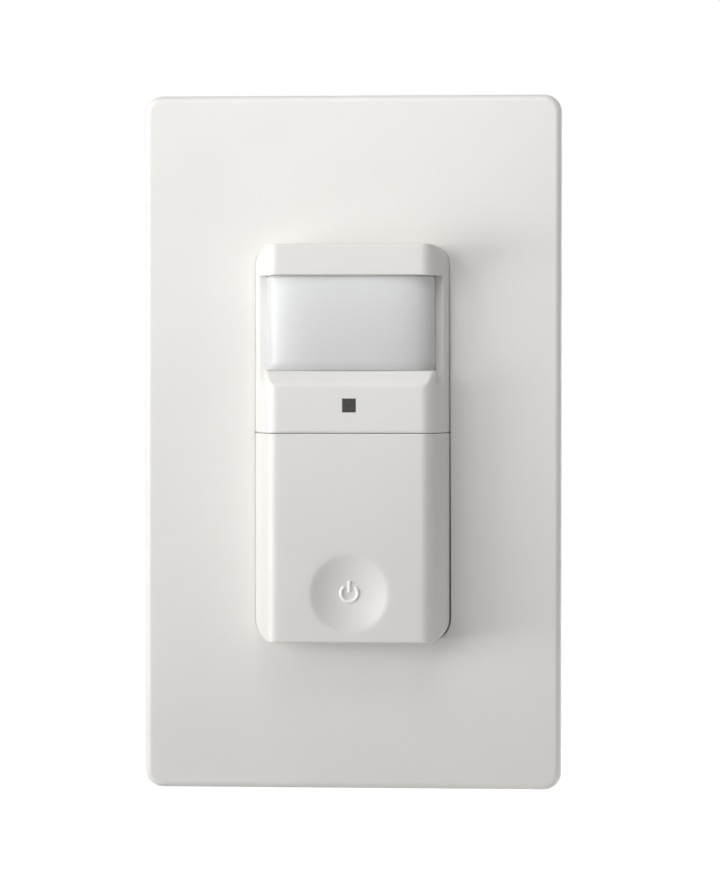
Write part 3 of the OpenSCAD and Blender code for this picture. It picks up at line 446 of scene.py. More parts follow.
finishes["board_green"] = circuit_board("board_green")
finishes |= {name: lamp_plastic(name, paint(*tint)) for name, tint in LAMP_TINTS.items()}
print("finishes so far:", len(finishes))

# %% [markdown]
# The lens is milky polyethylene: light goes a little way in and comes out softened, and it looks cooler
# and greyer than the white plastic round it. Its back is cut into rings that focus heat on the sensor.
# From outside they show only as the faintest ripple, so they are a bump of very small height. Its colour
# is painted darker towards its foot and lighter with height: painted shade and painted light, standing in
# for the light from above falling off down the lens.

# %% Milky plastic
# The two lens colours below are painted shade at the foot and painted light at the top, not a change in the
# plastic.
MILK_PAINTED_SHADE_FOOT, MILK_PAINTED_LIGHT_TOP = paint(208, 209, 209), paint(224, 225, 226)
MILK_SHARE, MILK_DEPTH = 0.35, 1.2
MILK_SPOT, MILK_GLOSS = 2.2, (0.34, 0.44)
LENS_CELL, RING_SHARE, RING_H, RING_STRENGTH = 3.6, 0.07, 0.02, 0.35

lens_room = extent("lens")


def height_share(tree, low, high):
    """0 at one height of the switch and 1 at another, fixed to the piece."""
    parts = tree.nodes.new("ShaderNodeSeparateXYZ")
    tree.links.new(on_piece(tree), parts.inputs[0])
    return spread(tree, parts.outputs["Z"], 0, 1, low * MM, high * MM)


def milky_plastic(name):
    """Milky plastic with painted shade at its foot and painted light at its top, and a trace of the ring-cut
    cells on its back.
    """
    finish, tree, shader = new_finish(name)
    set_inputs(shader, {"Subsurface Weight": MILK_SHARE, "Subsurface Radius": (1, 1, 1),
                        "Subsurface Scale": MILK_DEPTH * MM})
    rise = height_share(tree, lens_room.low, lens_room.high)
    # Painted shade: the colour fades from the darker foot to the lighter top of the lens.
    dress(tree, shader, tinted(tree, rise, MILK_PAINTED_SHADE_FOOT, MILK_PAINTED_LIGHT_TOP, 0, 1),
          spread(tree, speckle(tree, MILK_SPOT), *MILK_GLOSS))
    cells = tree.nodes.new("ShaderNodeTexVoronoi")
    set_inputs(cells, {"Scale": 1 / (LENS_CELL * MM), "Randomness": 0})
    rings = tree.nodes.new("ShaderNodeMath")
    rings.operation = "PINGPONG"
    rings.inputs[1].default_value = RING_SHARE
    tree.links.new(on_piece(tree), cells.inputs["Vector"])
    tree.links.new(cells.outputs["Distance"], rings.inputs[0])
    raised(tree, shader, rings.outputs[0], RING_H, RING_STRENGTH)
    return finish


finishes["lens_milky"] = milky_plastic("lens_milky")
print(f"milky plastic, {lens_room.height:.1f} mm from its foot to its top")

# %% [markdown]
# The indicator window is smoked plastic, dark and smooth, with hardly any grain. It could be made of
# tinted clear plastic, but the lamp behind it is off and what lies behind is dark too. A nearly black
# surface with a soft gloss then looks the same.

# %% Smoked plastic
SMOKE_DARK, SMOKE_PALE = paint(50, 50, 49), paint(58, 58, 57)
SMOKE_SPOT, SMOKE_GLOSS_SPOT, SMOKE_GLOSS = 1.2, 0.6, (0.16, 0.24)


def smoked_plastic(name):
    """Smoked plastic, nearly black and smooth."""
    finish, tree, shader = new_finish(name)
    dress(tree, shader, tinted(tree, speckle(tree, SMOKE_SPOT), SMOKE_DARK, SMOKE_PALE),
          spread(tree, speckle(tree, SMOKE_GLOSS_SPOT), *SMOKE_GLOSS))
    return finish


finishes["window_dark"] = smoked_plastic("window_dark")
print("finishes:", ", ".join(sorted(finishes)))

# %% [markdown]
# ## Building skins
# Most pieces here are skins: rows of points that are joined to the next row by four-sided faces. They
# could be cut from blocks with modifiers, but rows put each point where the shape bends, and leave the
# large faces clean. One helper joins two rows, another one makes a tube through many.

# %% Rows of points
def new_points(mesh, row):
    """Adds one row of points to a mesh."""
    return [mesh.verts.new(point) for point in row]


def join_rows(mesh, first, second, closed=False):
    """Four-sided faces between two rows with as many points each."""
    count = len(first)
    for i in range(count if closed else count - 1):
        j = (i + 1) % count
        mesh.faces.new((first[i], first[j], second[j], second[i]))


def loft(mesh, rows, first=True, last=True):
    """A tube through closed rows, with its first and last row filled where wanted."""
    rings = [new_points(mesh, row) for row in rows]
    for ring, after in zip(rings, rings[1:]):
        join_rows(mesh, ring, after, closed=True)
    if first:
        mesh.faces.new(rings[0])
    if last:
        mesh.faces.new(rings[-1])


print("row tools ready: new_points, join_rows, loft")

# %% [markdown]
# A finished mesh then becomes a piece of the switch. It rides on a body, stands for the CAD pieces that
# it replaces and takes its finish from a slot. Edges stay sharp where two faces meet at a steep angle,
# and weighted normals keep the large flat faces flat right up to their small rounded edges.

# %% Pieces of the switch
CREASE = math.radians(50)
MERGE_GAP = 0.0005


def make_piece(name, mesh, body, slot, *nodes):
    """Turns a finished mesh into a piece that rides on a body and stands for CAD pieces."""
    bmesh.ops.remove_doubles(mesh, verts=mesh.verts, dist=MERGE_GAP * MM)
    bmesh.ops.recalc_face_normals(mesh, faces=mesh.faces)
    data = bpy.data.meshes.new(name)
    mesh.to_mesh(data)
    mesh.free()
    data.shade_smooth()
    data.set_sharp_from_angle(angle=CREASE)
    data.materials.append(finishes[slot])
    piece = add_object(name, data)
    piece.modifiers.new("flat_faces", "WEIGHTED_NORMAL").keep_sharp = True
    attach(piece, body)
    if nodes:
        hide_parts(*nodes)
    print(f"{name}: {len(data.vertices)} points, {len(data.polygons)} faces, on {body}")
    return piece


print("make_piece is ready, with", len(finishes), "finishes")

# %% [markdown]
# ## Round edges
# Two shapes come back in many pieces: a rectangle with round corners, and the quarter round of an edge.
# A rounded rectangle always has the same number of points, so two of different sizes can be joined point
# by point. The quarter round is a list of steps, each with how far it lies in from the side and how far
# up towards the face.

# %% Rounded rectangles
CORNER_STEPS = 12
EDGE_STEPS = 4


def rounded_outline(width, height, radius):
    """Points round a rectangle with round corners; their number is the same at any size."""
    points = []
    for right, up, start in ((1, 1, 0), (-1, 1, 90), (-1, -1, 180), (1, -1, 270)):
        for step in range(CORNER_STEPS + 1):
            turn = math.radians(start + 90 * step / CORNER_STEPS)
            points.append((right * (width / 2 - radius) + radius * math.cos(turn),
                           up * (height / 2 - radius) + radius * math.sin(turn)))
    return points


def edge_steps(radius, count=EDGE_STEPS):
    """Inset and rise of the steps round an edge, from the side to the face."""
    turns = [math.pi / 2 * i / count for i in range(count + 1)]
    return [(radius * (1 - math.cos(turn)), radius * math.sin(turn)) for turn in turns]


print("points in each outline:", len(rounded_outline(10, 10, 1)))

# %% [markdown]
# ## The face plate
# The plate is a thin tray, open at the back, with no screws in sight: it snaps over a frame. It could be
# cut out of a block, but a mould makes it as one skin of even thickness. Rounded rectangles follow that
# skin from the rim at the wall over the soft outer edge, across the front, down the collar round the
# insert, and back along the inside. A small lip below the collar's edge all but closes the gap. The pad
# sits a little to the left in the opening, so the lip is flush nearly all round and sinks towards the
# lower right corner, where the gap beside the pad reads as a grey line.

# %% Rows of the plate
PLATE_CORNER = 3.0
OPENING_GAP = 0.3
INSERT_CORNER = 3.4
LIP_FLUSH, LIP_DEEP = (0.25, 0.04), (0.05, 0.7)
LIP_TURN = 2.0

opening_w, opening_h = insert.width + 2 * OPENING_GAP, insert.height + 2 * OPENING_GAP
opening_r = INSERT_CORNER + OPENING_GAP


def plate_row(inset, out):
    """A row round the outside of the plate."""
    outline = rounded_outline(plate.width - 2 * inset, plate.height - 2 * inset, PLATE_CORNER - inset)
    return [at(x, up, out) for x, up in outline]


def opening_row(growth, out):
    """A row round the opening."""
    outline = rounded_outline(opening_w + 2 * growth, opening_h + 2 * growth, opening_r + growth)
    return [at(x, up, out) for x, up in outline]


def lip_row(reach_share, out=None):
    """A row on the lip in the opening: wide and flush, but narrow and deep at the lower right corner."""
    rows = [opening_row(-reach_share * lip, plate.front - depth if out is None else out)
            for lip, depth in (LIP_FLUSH, LIP_DEEP)]
    turn = [min(max((point.x / MM - opening_w / 2) / LIP_TURN + 1, 0), 1) if point.z < 0 else 0
            for point in rows[0]]
    return [flush.lerp(deep, share) for flush, deep, share in zip(*rows, turn)]


print(f"opening {opening_w:.1f} x {opening_h:.1f} mm")

# %% [markdown]
# The rows now go round the plate's section once, and the last one is the first one again, so the skin
# closes on itself. The front is a single wide band of faces: it is flat, so it needs no more points. The
# soft outer edge has the most rows, because its shading is what tells the eye that the plate is moulded.

# %% Skin of the plate
PLATE_WALL = 2.0
PLATE_RIM = 0.2
PLATE_EDGE, PLATE_EDGE_STEPS = 1.2, 8
COLLAR_WALL, COLLAR_BACK, COLLAR_EDGE = 1.2, 3.2, 0.03

plate_inside = plate.front - PLATE_WALL
rows = [plate_row(PLATE_RIM, 0), plate_row(0, PLATE_RIM)]
rows += [plate_row(inset, plate.front - PLATE_EDGE + rise)
         for inset, rise in edge_steps(PLATE_EDGE, PLATE_EDGE_STEPS)]
rows += [opening_row(COLLAR_EDGE - inset, plate.front - COLLAR_EDGE + rise)
         for inset, rise in reversed(edge_steps(COLLAR_EDGE))]
rows += [lip_row(0), lip_row(1), lip_row(1, COLLAR_BACK)]
rows += [opening_row(COLLAR_WALL, out) for out in (COLLAR_BACK, plate_inside)]
rows += [plate_row(PLATE_WALL, out) for out in (plate_inside, 0)]
tray = bmesh.new()
loft(tray, rows + rows[:1], first=False, last=False)
print("rows in the plate's skin:", len(rows))

# %% [markdown]
# Four blades stand on the inside of the tray and snap into slots of the frame behind it. Each is a box
# with narrow cuts along its edges, because a perfectly sharp edge looks unreal in any light. A cube with a
# bevel would do, but a stack of four rows goes straight into the tray's own mesh.

# %% Snap blades
BLADE = Extent(-0.7, 0.7, -4.5, 4.5, 0.6, 4.6)
BLADE_X, BLADE_UP = 28.0, 29.0
BLADE_CUT = 0.15


def blade(mesh, x, up):
    """A blade about a place: eight-sided rows, smaller at the back and at the front."""
    cut, rows = BLADE_CUT, []
    for inset, out in ((cut, BLADE.back), (0, BLADE.back + cut), (0, BLADE.front - cut), (cut, BLADE.front)):
        left, right = x + BLADE.left + inset, x + BLADE.right - inset
        foot, top = up + BLADE.low + inset, up + BLADE.high - inset
        rows.append([at(*spot, out) for spot in (
            (right, top - cut), (right - cut, top), (left + cut, top), (left, top - cut),
            (left, foot + cut), (left + cut, foot), (right - cut, foot), (right, foot + cut))])
    loft(mesh, rows)


for side, end in CORNERS:
    blade(tray, side * BLADE_X, end * BLADE_UP)
make_piece("face_plate_shell", tray, "face_plate", "plate_white", "face_plate")

# %% [markdown]
# ## The insert's form
# The sensor head and the push pad share one outer form: upright inside the opening, then leaning in, with
# a long rounded edge at each side of the flat front and round corners at the two far ends. Both are
# skinned from cross-sections that are stacked from bottom to top. Where the leaning flank meets a round
# end, the two limits are blended softly, which gives the edge the small radius that a mould has.

# %% Reach of the insert
DRAFT = math.radians(19)
LONG_EDGE = 2.4
SOFT_EDGE = 0.5
RAIL_OUT = 2.6
TINY = 0.001

half_w = insert.right
rail_front = plate.front + RAIL_OUT


def side_reach(out):
    """Half of the insert's width at a depth: upright, leaning, then rounded at the front."""
    lean = math.tan(DRAFT)
    corner = half_w - (insert.front - plate.front) * lean
    middle = corner - LONG_EDGE / math.tan((math.pi / 2 + DRAFT) / 2)
    level = insert.front - LONG_EDGE
    if out > level + LONG_EDGE * math.sin(DRAFT):
        return middle + math.sqrt(max(LONG_EDGE ** 2 - (out - level) ** 2, 0))
    return half_w - max(out - plate.front, 0) * lean


def end_reach(up, inset):
    """Half of the width that the round corners leave at a height."""
    past = abs(up) - (insert.high - INSERT_CORNER)
    if past <= 0:
        return half_w - inset
    return half_w - INSERT_CORNER + math.sqrt(max((INSERT_CORNER - inset) ** 2 - past ** 2, 0))


def reach(out, up, inset=0):
    """Half-width at a depth and a height, with the meeting of flank and corner softened."""
    flank, end = side_reach(out) - inset, end_reach(up, inset)
    soft = min(SOFT_EDGE, half_w - side_reach(out))
    overlap = max(soft - abs(flank - end), 0) / max(soft, TINY)
    return min(flank, end) - overlap ** 2 * soft / 4


print(f"flat front {2 * side_reach(insert.front):.1f} mm wide, foot {2 * half_w:.1f} mm")

# %% [markdown]
# The front of the insert follows a path from bottom to top: a list of heights with the depth of the
# front there. A corner of the path can be rounded, by a curve that starts and ends one radius away from
# it. That gives the small radii at the ends of the bezel, the ramp and the pad. The inside of a shell
# uses the same path with sharp corners, which has as many points.

# %% Rounded paths
ROUND_STEPS = 4
BACKWARDS = Vector((0, -1))


def rounded_path(corners, sharp=False):
    """Walks a path of (height, depth, radius) and rounds each corner that has a radius."""
    walk = []
    for i, (up, out, radius) in enumerate(corners):
        if not radius:
            walk.append((up, out))
            continue
        here = Vector((up, out))
        before = Vector(corners[i - 1][:2]) if i else here + BACKWARDS
        after = Vector(corners[i + 1][:2]) if i + 1 < len(corners) else here + BACKWARDS
        start = here + (before - here).normalized() * radius
        end = here + (after - here).normalized() * radius
        for step in range(ROUND_STEPS + 1):
            t = step / ROUND_STEPS
            bend = start * (1 - t) ** 2 + here * 2 * t * (1 - t) + end * t ** 2
            walk.append(tuple(here if sharp else bend))
    return walk


print("points round a corner of a path:", ROUND_STEPS + 1)

# %% [markdown]
# A cross-section runs from the right skirt up the flank, over the front and down the left flank. Points
# on the flank crowd towards the front, where the long edge bends. Beside the lens and the ramp the flank
# steps in above a narrow ledge. Where the front lies lower, as on the ramp, its side edge is rounded too.

# %% Cross-sections
SKIRT_STEPS = 3
FLANK_STEPS = 20
LEDGE_EDGE, LEDGE_FOOT = 0.25, 1
RAMP_SIDE_EDGE = 1.4


def cross_section(up, front, back, columns, inset=0, dent=None, ledge=0):
    """One row of points from the right skirt over the front to the left skirt."""
    shelf = min(rail_front - inset, front)
    ease = min(LEDGE_EDGE, ledge / 2)
    foot = [back + (plate.front - back) * i / SKIRT_STEPS for i in range(SKIRT_STEPS + 1)]
    foot += [shelf - LEDGE_FOOT, shelf - ease]
    half = [(reach(out, up, inset), out) for out in foot if out <= shelf - ease]
    half = half[:1] * (len(foot) - len(half)) + half
    side = half[-1][0]
    half += [(side - in_by, shelf - ease + rise) for in_by, rise in edge_steps(ease)]
    widest = RAMP_SIDE_EDGE if front > rail_front else SOFT_EDGE
    cut = 0 if inset else min(widest, max(0, insert.front - front)) / 2
    for i in range(FLANK_STEPS + 1):
        out = shelf + (front - shelf) * math.sin(math.pi / 2 * i / FLANK_STEPS)
        x = min(reach(out, up, inset), side - ledge)
        if cut and out > front - cut:
            x -= cut * (1 - math.sqrt(max(1 - ((out - front + cut) / cut) ** 2, 0)))
        half.append((x, out))
    edge = half[-1][0]
    half += [(min(column, edge), front) for column in columns]
    row = half + [(-x, out) for x, out in reversed(half)]
    return [at(x, up, out - (dent(x, up) if dent and out == front else 0)) for x, out in row]


print("section at the insert's middle:", len(cross_section(0, insert.front, insert.back, [])), "points")

# %% [markdown]
# A moulded piece is a shell, so it needs an inside too. The inside is a second stack of cross-sections
# with the same number of points, set in by the wall, so that the two can be joined at the rim and round
# every opening. An opening is a test on the middle of each face: where it holds, the face is left out on
# both sides and a wall joins the two round it.

# %% Shells
def shell(mesh, outer, inner, opening=None):
    """Joins an outer and an inner stack of rows into a closed shell with openings."""
    outside = [new_points(mesh, row) for row in outer]
    inside = [new_points(mesh, row) for row in inner]
    faces = [(i, j) for i in range(len(outer) - 1) for j in range(len(outer[0]) - 1)]
    missing = {(i, j) for i, j in faces
               if opening and opening((outer[i][j] + outer[i][j + 1] + outer[i + 1][j]
                                       + outer[i + 1][j + 1]) / 4 / MM)}
    for i, j in faces:
        if (i, j) in missing:
            continue
        for stack in (outside, inside):
            mesh.faces.new((stack[i][j], stack[i][j + 1], stack[i + 1][j + 1], stack[i + 1][j]))
        around = {(i, j - 1): ((i, j), (i + 1, j)), (i, j + 1): ((i, j + 1), (i + 1, j + 1)),
                  (i - 1, j): ((i, j), (i, j + 1)), (i + 1, j): ((i + 1, j), (i + 1, j + 1))}
        for beside, ((a, b), (c, d)) in around.items():
            if beside in missing:
                mesh.faces.new((outside[a][b], outside[c][d], inside[c][d], inside[a][b]))
    for end in (0, -1):
        mesh.faces.new(outside[end])
        mesh.faces.new(inside[end])
        join_rows(mesh, [row[end] for row in outside], [row[end] for row in inside])
        mesh.faces.new((outside[end][0], outside[end][-1], inside[end][-1], inside[end][0]))


print("shell tool ready")

# %% [markdown]
# ## The push pad
# The lower part is the pad that a finger presses: a flat front with a round dimple near its foot, and a
# power symbol in the dimple. The dimple could be a bump in a material, but its soft shading is the main
# thing that the eye reads there, so it is real: a spherical hollow, with its rim softened over a
# fraction of a millimetre.

# %% Dimple of the pad
DIMPLE_R, DIMPLE_DEPTH, DIMPLE_UP, DIMPLE_SOFT = 6.5, 1.35, 8.15, 0.16
DIMPLE_CLEAR = 1

dimple_up = pad.low + DIMPLE_UP
dimple_ball = (DIMPLE_R ** 2 + DIMPLE_DEPTH ** 2) / (2 * DIMPLE_DEPTH)


def dimple(x, up):
    """Depth of the finger hollow below the pad's front, soft at its rim."""
    from_middle = min(math.hypot(x, up - dimple_up), dimple_ball)
    depth = math.sqrt(dimple_ball ** 2 - from_middle ** 2) - dimple_ball + DIMPLE_DEPTH
    if depth < -DIMPLE_CLEAR:
        return 0
    return (depth + math.sqrt(depth ** 2 + DIMPLE_SOFT ** 2)) / 2


print(f"the dimple is part of a ball of {dimple_ball:.1f} mm radius")

# %% [markdown]
# The pad's skin is a stack of the insert's cross-sections. Its rows and columns lie a quarter of a
# millimetre apart around the dimple and further apart on the flat rest, which keeps the mesh small. A
# modifier could divide all faces evenly, but most of the points would lie where nothing bends. The inside
# has as many rows, squeezed between the two end walls.

# %% Skin of the pad
PAD_WALL = 1.6
PAD_EDGE = 0.3
FINE, FINE_BELOW, FINE_ABOVE = 0.25, 0.9, 1.2
COARSE, COARSE_LOW, COARSE_HIGH = 3, 1.5, 2
FINE_X, COARSE_XS = 8.4, [12.3, 11.0, 9.6]
PAD_CORNER_TURNS = range(80, 0, -8)


def between(low, high, step):
    """Evenly spaced values from low to high, about step apart."""
    count = max(1, round((high - low) / step))
    return [low + (high - low) * i / count for i in range(count + 1)]


def corner_rise(turn):
    """How far a point at this turn of the insert's round corner lies from the insert's end."""
    return INSERT_CORNER * (1 - math.sin(math.radians(turn)))


fine_low, fine_high = dimple_up - DIMPLE_R - FINE_BELOW, dimple_up + DIMPLE_R + FINE_ABOVE
corner_ups = [insert.low + corner_rise(turn) for turn in PAD_CORNER_TURNS]
heights = sorted({up for up in corner_ups if pad.low + PAD_EDGE < up < fine_low}
                 | set(between(fine_low, fine_high, FINE))
                 | set(between(fine_high + COARSE_LOW, pad.high - COARSE_HIGH, COARSE)))
pad_path = ([(pad.low, pad.front, PAD_EDGE)] + [(up, pad.front, 0) for up in heights]
            + [(pad.high, pad.front, PAD_EDGE)])
pad_inside = pad.front - PAD_WALL
squeeze = (pad.height - 2 * PAD_WALL) / pad.height
pad_inner_path = [(pad.low + PAD_WALL + (up - pad.low) * squeeze, pad_inside, radius)
                  for up, _, radius in pad_path]
pad_columns = COARSE_XS + between(0, FINE_X, FINE)[:0:-1]
outer = [cross_section(up, out, pad.back, pad_columns, dent=dimple) for up, out in rounded_path(pad_path)]
inner = [cross_section(up, out, pad.back, pad_columns, PAD_WALL)
         for up, out in rounded_path(pad_inner_path, sharp=True)]
pad_mesh = bmesh.new()
shell(pad_mesh, outer, inner)
make_piece("push_pad_shell", pad_mesh, "push_pad", "pad_white", "push_pad")

# %% [markdown]
# The power symbol is a raised line in the floor of the dimple: a ring that is open at the top, and a bar
# in the opening. A curve with a round section is the natural tool for a line of even width. Its middle
# follows the floor of the dimple, so half of it stands proud and half is sunk in the pad.

# %% Power symbol
SYMBOL_RING, SYMBOL_STROKE = 1.4, 0.31
SYMBOL_OPENING = 80
RING_STEPS = 48
BAR_LOW, BAR_HIGH, BAR_STEPS = 0.2, 2.05, 8
STROKE_STEPS = 4


def symbol_line(curve, places):
    """One open line along places in the dimple, given from its middle."""
    line = curve.splines.new("POLY")
    line.points.add(len(places) - 1)
    for point, (x, up) in zip(line.points, places):
        out = pad.front - dimple(x, dimple_up + up)
        point.co = (*at(x, dimple_up + up, out), 1)


symbol_curve = bpy.data.curves.new("power_symbol", "CURVE")
symbol_curve.dimensions = "3D"
symbol_curve.bevel_depth = SYMBOL_STROKE * MM
symbol_curve.bevel_resolution = STROKE_STEPS
symbol_curve.use_fill_caps = True
ring_start, ring_sweep = 90 + SYMBOL_OPENING / 2, 360 - SYMBOL_OPENING
turns = [math.radians(ring_start + ring_sweep * i / RING_STEPS) for i in range(RING_STEPS + 1)]
symbol_line(symbol_curve, [(SYMBOL_RING * math.cos(t), SYMBOL_RING * math.sin(t)) for t in turns])
symbol_line(symbol_curve, [(0, BAR_LOW + (BAR_HIGH - BAR_LOW) * i / BAR_STEPS) for i in range(BAR_STEPS + 1)])
symbol_curve.materials.append(finishes["symbol_white"])
symbol = add_object("power_symbol", symbol_curve)
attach(symbol, "push_pad")
print(f"power symbol {2 * (SYMBOL_RING + SYMBOL_STROKE):.1f} mm across")

# %% [markdown]
# ## The sensor head
# Above the pad sits the head: a bezel at the top, a recess for the lens with a narrow rail at each side,
# a ramp that slopes back to the lens's lower edge, and a band with the indicator window. It has the same
# outer form as the pad, but its front follows a stepped path. The rails run down beside the lens and the
# ramp, and end at the ramp's foot.

# %% Path of the head
HEAD_EDGE, FOOT_EDGE, RAMP_EDGE = 0.35, 0.12, 0.6
PAD_GAP = 0.3
LENS_W, LENS_GAP, LENS_FLANGE = 28.2, 0.2, 1.3
RAMP_H, RAMP_DROP = 2.4, 1.7
WINDOW_FLANGE, WINDOW_FIT = 0.8, 0.06
HEAD_CORNER_TURNS = range(0, 60, 6)

lens_low, lens_high = lens_room.low + LENS_FLANGE, lens_room.high - LENS_FLANGE
window_room = extent("indicator_window")
window_half = window_room.right - WINDOW_FLANGE
window_up = window_room.up
hole_half = window_half + WINDOW_FIT
head_low = pad.high + PAD_GAP
ramp_top = lens_low - LENS_GAP
ramp_low = ramp_top - RAMP_H
bezel_low = lens_high + LENS_GAP
head_path = [(head_low, insert.front, FOOT_EDGE), (window_up - hole_half, insert.front, 0),
             (window_up + hole_half, insert.front, 0), (ramp_low, insert.front, RAMP_EDGE),
             (ramp_top, insert.front - RAMP_DROP, HEAD_EDGE), (ramp_top, rail_front, 0),
             (bezel_low, rail_front, 0), (bezel_low, insert.front, HEAD_EDGE)]
head_path += [(insert.high - corner_rise(turn), insert.front, 0) for turn in HEAD_CORNER_TURNS]
head_path += [(insert.high, insert.front, HEAD_EDGE)]
print(f"head {insert.high - head_low:.1f} mm high, with {len(head_path)} corners in its path")

# %% [markdown]
# Two helpers finish the head's form. One says how far the flank steps in above the rails at a height. The
# other one gives the inside of the path: it lies a wall's thickness behind the front, and also keeps that
# distance from the head's two ends and from the recess.

# %% Rails and inside of the head
HEAD_WALL = 1.7
RAIL_END = 0.4

rail_inner = LENS_W / 2 + LENS_GAP
rail_w = side_reach(rail_front) - rail_inner


def ledge_at(up, out):
    """How far the head steps in above the rails, which end a little above the foot of the ramp."""
    if out > rail_front and up > lens_high:
        return 0
    return rail_w * min(max((up - ramp_low) / RAIL_END, 0), 1)


def set_in(up, out):
    """The inside of the head's path: lower than its front and within its ends."""
    up = min(max(up, head_low + HEAD_WALL), insert.high - HEAD_WALL)
    if ramp_top - HEAD_WALL < up <= ramp_top:
        up = ramp_top - HEAD_WALL
    if bezel_low <= up < bezel_low + HEAD_WALL:
        up = bezel_low + HEAD_WALL
    return up, out - HEAD_WALL


head_inner_path = [(*set_in(up, out), radius) for up, out, radius in head_path]
print(f"rails {rail_w:.1f} mm wide, walls {HEAD_WALL} mm thick")

# %% [markdown]
# The recess and the window are openings in the head's skin, left out where the path runs along the floor
# of the recess and where the window will sit. Below its foot the head has a small lip, set back and in a
# little, so that the seam above the pad reads as a fine line and not as a deep slot.

# %% Skin of the head
HEAD_XS = [11.6, 6.4]
HEAD_LIP, HEAD_LIP_DEPTH, HEAD_LIP_SIDE = 0.2, 0.34, 0.12
RECESS_MARGIN = 0.1

yoke_front = extent("yoke").front
head_columns = [rail_inner, *HEAD_XS, hole_half]


def head_opening(middle):
    """True inside the lens's recess and the window's hole."""
    x, up, out = abs(middle.x), middle.z, -middle.y
    in_recess = x < rail_inner and ramp_top + RECESS_MARGIN < up < bezel_low - RECESS_MARGIN
    in_window = x < hole_half and abs(up - window_up) < hole_half and out > rail_front
    return in_recess or in_window


lip_rows = [cross_section(up, insert.front - HEAD_LIP_DEPTH, yoke_front, head_columns, HEAD_LIP_SIDE)
            for up in (head_low - HEAD_LIP, head_low)]
outer = [cross_section(up, out, yoke_front, head_columns, ledge=ledge_at(up, out))
         for up, out in rounded_path(head_path)]
inner = [cross_section(up, out, yoke_front, head_columns, HEAD_WALL)
         for up, out in rounded_path(head_inner_path, sharp=True)]
head_mesh = bmesh.new()
shell(head_mesh, lip_rows + outer, inner[:1] * len(lip_rows) + inner, head_opening)
make_piece("sensor_head", head_mesh, "base", "cover_white", "front_cover")

# %% [markdown]
# ## Flat parts
# Some pieces are sheets with holes: the lens's flange, the deck, the dials. Each is an outline and its
# holes, filled at two levels, with walls between them. Cutting holes out of a block with a modifier would
# do too, but filling keeps the outlines exact.

# %% Tools for flat parts
CIRCLE_STEPS = 40


def circle(x, up, radius, steps=CIRCLE_STEPS):
    """Points round a circle."""
    return [(x + radius * math.cos(math.tau * i / steps), up + radius * math.sin(math.tau * i / steps))
            for i in range(steps)]


def rectangle(x, up, width, height):
    """Corners of a rectangle about a middle."""
    return [(x + a * width / 2, up + b * height / 2) for a, b in CORNERS]


def along_x(up, out, x):
    """Turns a flat part so that its thickness runs from left to right."""
    return at(x, up, out)


def flat_part(mesh, outline, holes, low, high, place=at):
    """A sheet with holes between two levels, placed in the maker's directions."""
    for level in (low, high):
        edges = []
        for loop in [outline, *holes]:
            points = new_points(mesh, [place(*spot, level) for spot in loop])
            edges += [mesh.edges.new((a, b)) for a, b in zip(points, points[1:] + points[:1])]
        bmesh.ops.triangle_fill(mesh, edges=edges, use_beauty=True)
    for loop in [outline, *holes]:
        rings = [new_points(mesh, [place(*spot, level) for spot in loop]) for level in (low, high)]
        join_rows(mesh, *rings, closed=True)


print("flat parts ready: circle, rectangle, flat_part")

# %% [markdown]
# The edges of a flat part then get a narrow rounded bevel from a modifier. It finds the sharp edges by
# their angle, so nothing has to be marked by hand, and it has to come before the modifier that weights
# the normals.

# %% Narrow bevels
BEVEL_SEGMENTS = 2
CUT_ANGLE = math.radians(35)


def bevel_edges(piece, width, angle):
    """Gives every edge of a piece that is sharper than an angle a small rounded bevel."""
    bevel = piece.modifiers.new("rounded_edges", "BEVEL")
    bevel.width = width * MM
    bevel.segments = BEVEL_SEGMENTS
    bevel.limit_method = "ANGLE"
    bevel.angle_limit = angle
    bevel.loop_slide = False
    return bevel


def cut_edges(piece, width):
    """Rounds the edges of a new piece, ahead of its normals."""
    bevel = bevel_edges(piece, width, CUT_ANGLE)
    piece.modifiers.move(piece.modifiers.find(bevel.name), 0)


print("bevels with", BEVEL_SEGMENTS, "segments ready")

# %% [markdown]
# ## The lens
# The lens is nearly flat in its middle and turns back faster and faster towards its two sides, so it
# catches a soft bright band on the left and a shaded one on the right. Two arcs would meet with a visible
# change of shading; a flattened oval, an ellipse of a higher power, bends without a break. A small lip at
# each foot of the section all but closes the gap to the rail.

# %% Section of the lens
LENS_POWER, LENS_STEPS = 4, 28
LENS_LIP = 0.17
LENS_LIPS, NO_LIPS = ((0.08, 0.6), (LENS_LIP, 0.06)), ((0, 0), (0, 0))


def lens_row(up, side_in, front_in, lips=LENS_LIPS):
    """One section of the lens: its right foot, a lip, the oval front, a lip and its left foot."""
    width, base = LENS_W / 2 - side_in, rail_front - LENS_LIPS[0][1]
    rise = lens_room.front - front_in - base
    turns = [math.pi / 2 * i / LENS_STEPS for i in range(LENS_STEPS + 1)]
    oval = [(width * math.cos(a) ** (2 / LENS_POWER), base + rise * math.sin(a) ** (2 / LENS_POWER))
            for a in turns]
    row = []
    for side, (lip, depth) in zip((1, -1), lips):
        shelf = rail_front - depth
        half = [(width + lip, lens_room.back), (width + lip, shelf), (width, shelf)]
        half += [(x, max(out, shelf)) for x, out in oval[1:]]
        row += [(side * x, out) for x, out in (half if side == 1 else reversed(half[:-1]))]
    return [at(x, up, out) for x, out in row]


print("points in a section of the lens:", len(lens_row(lens_low, 0, 0)))

# %% [markdown]
# The section is drawn out from the bottom to the top. It turns gently back to the ramp at its foot and
# tightly under the bezel. The inside is the same section, set in by the wall, and a thin flange behind the
# rails keeps the lens in.

# %% Skin of the lens
LENS_WALL, LENS_FLANGE_T = 0.9, 1
LENS_END_STEPS = 6
LENS_SIDE_EDGE = 0.25
LENS_FOOT_EDGE, LENS_FOOT_TURN = 2.2, math.radians(45)
LENS_TOP_EDGE, LENS_TOP_TURN = 0.2, 0


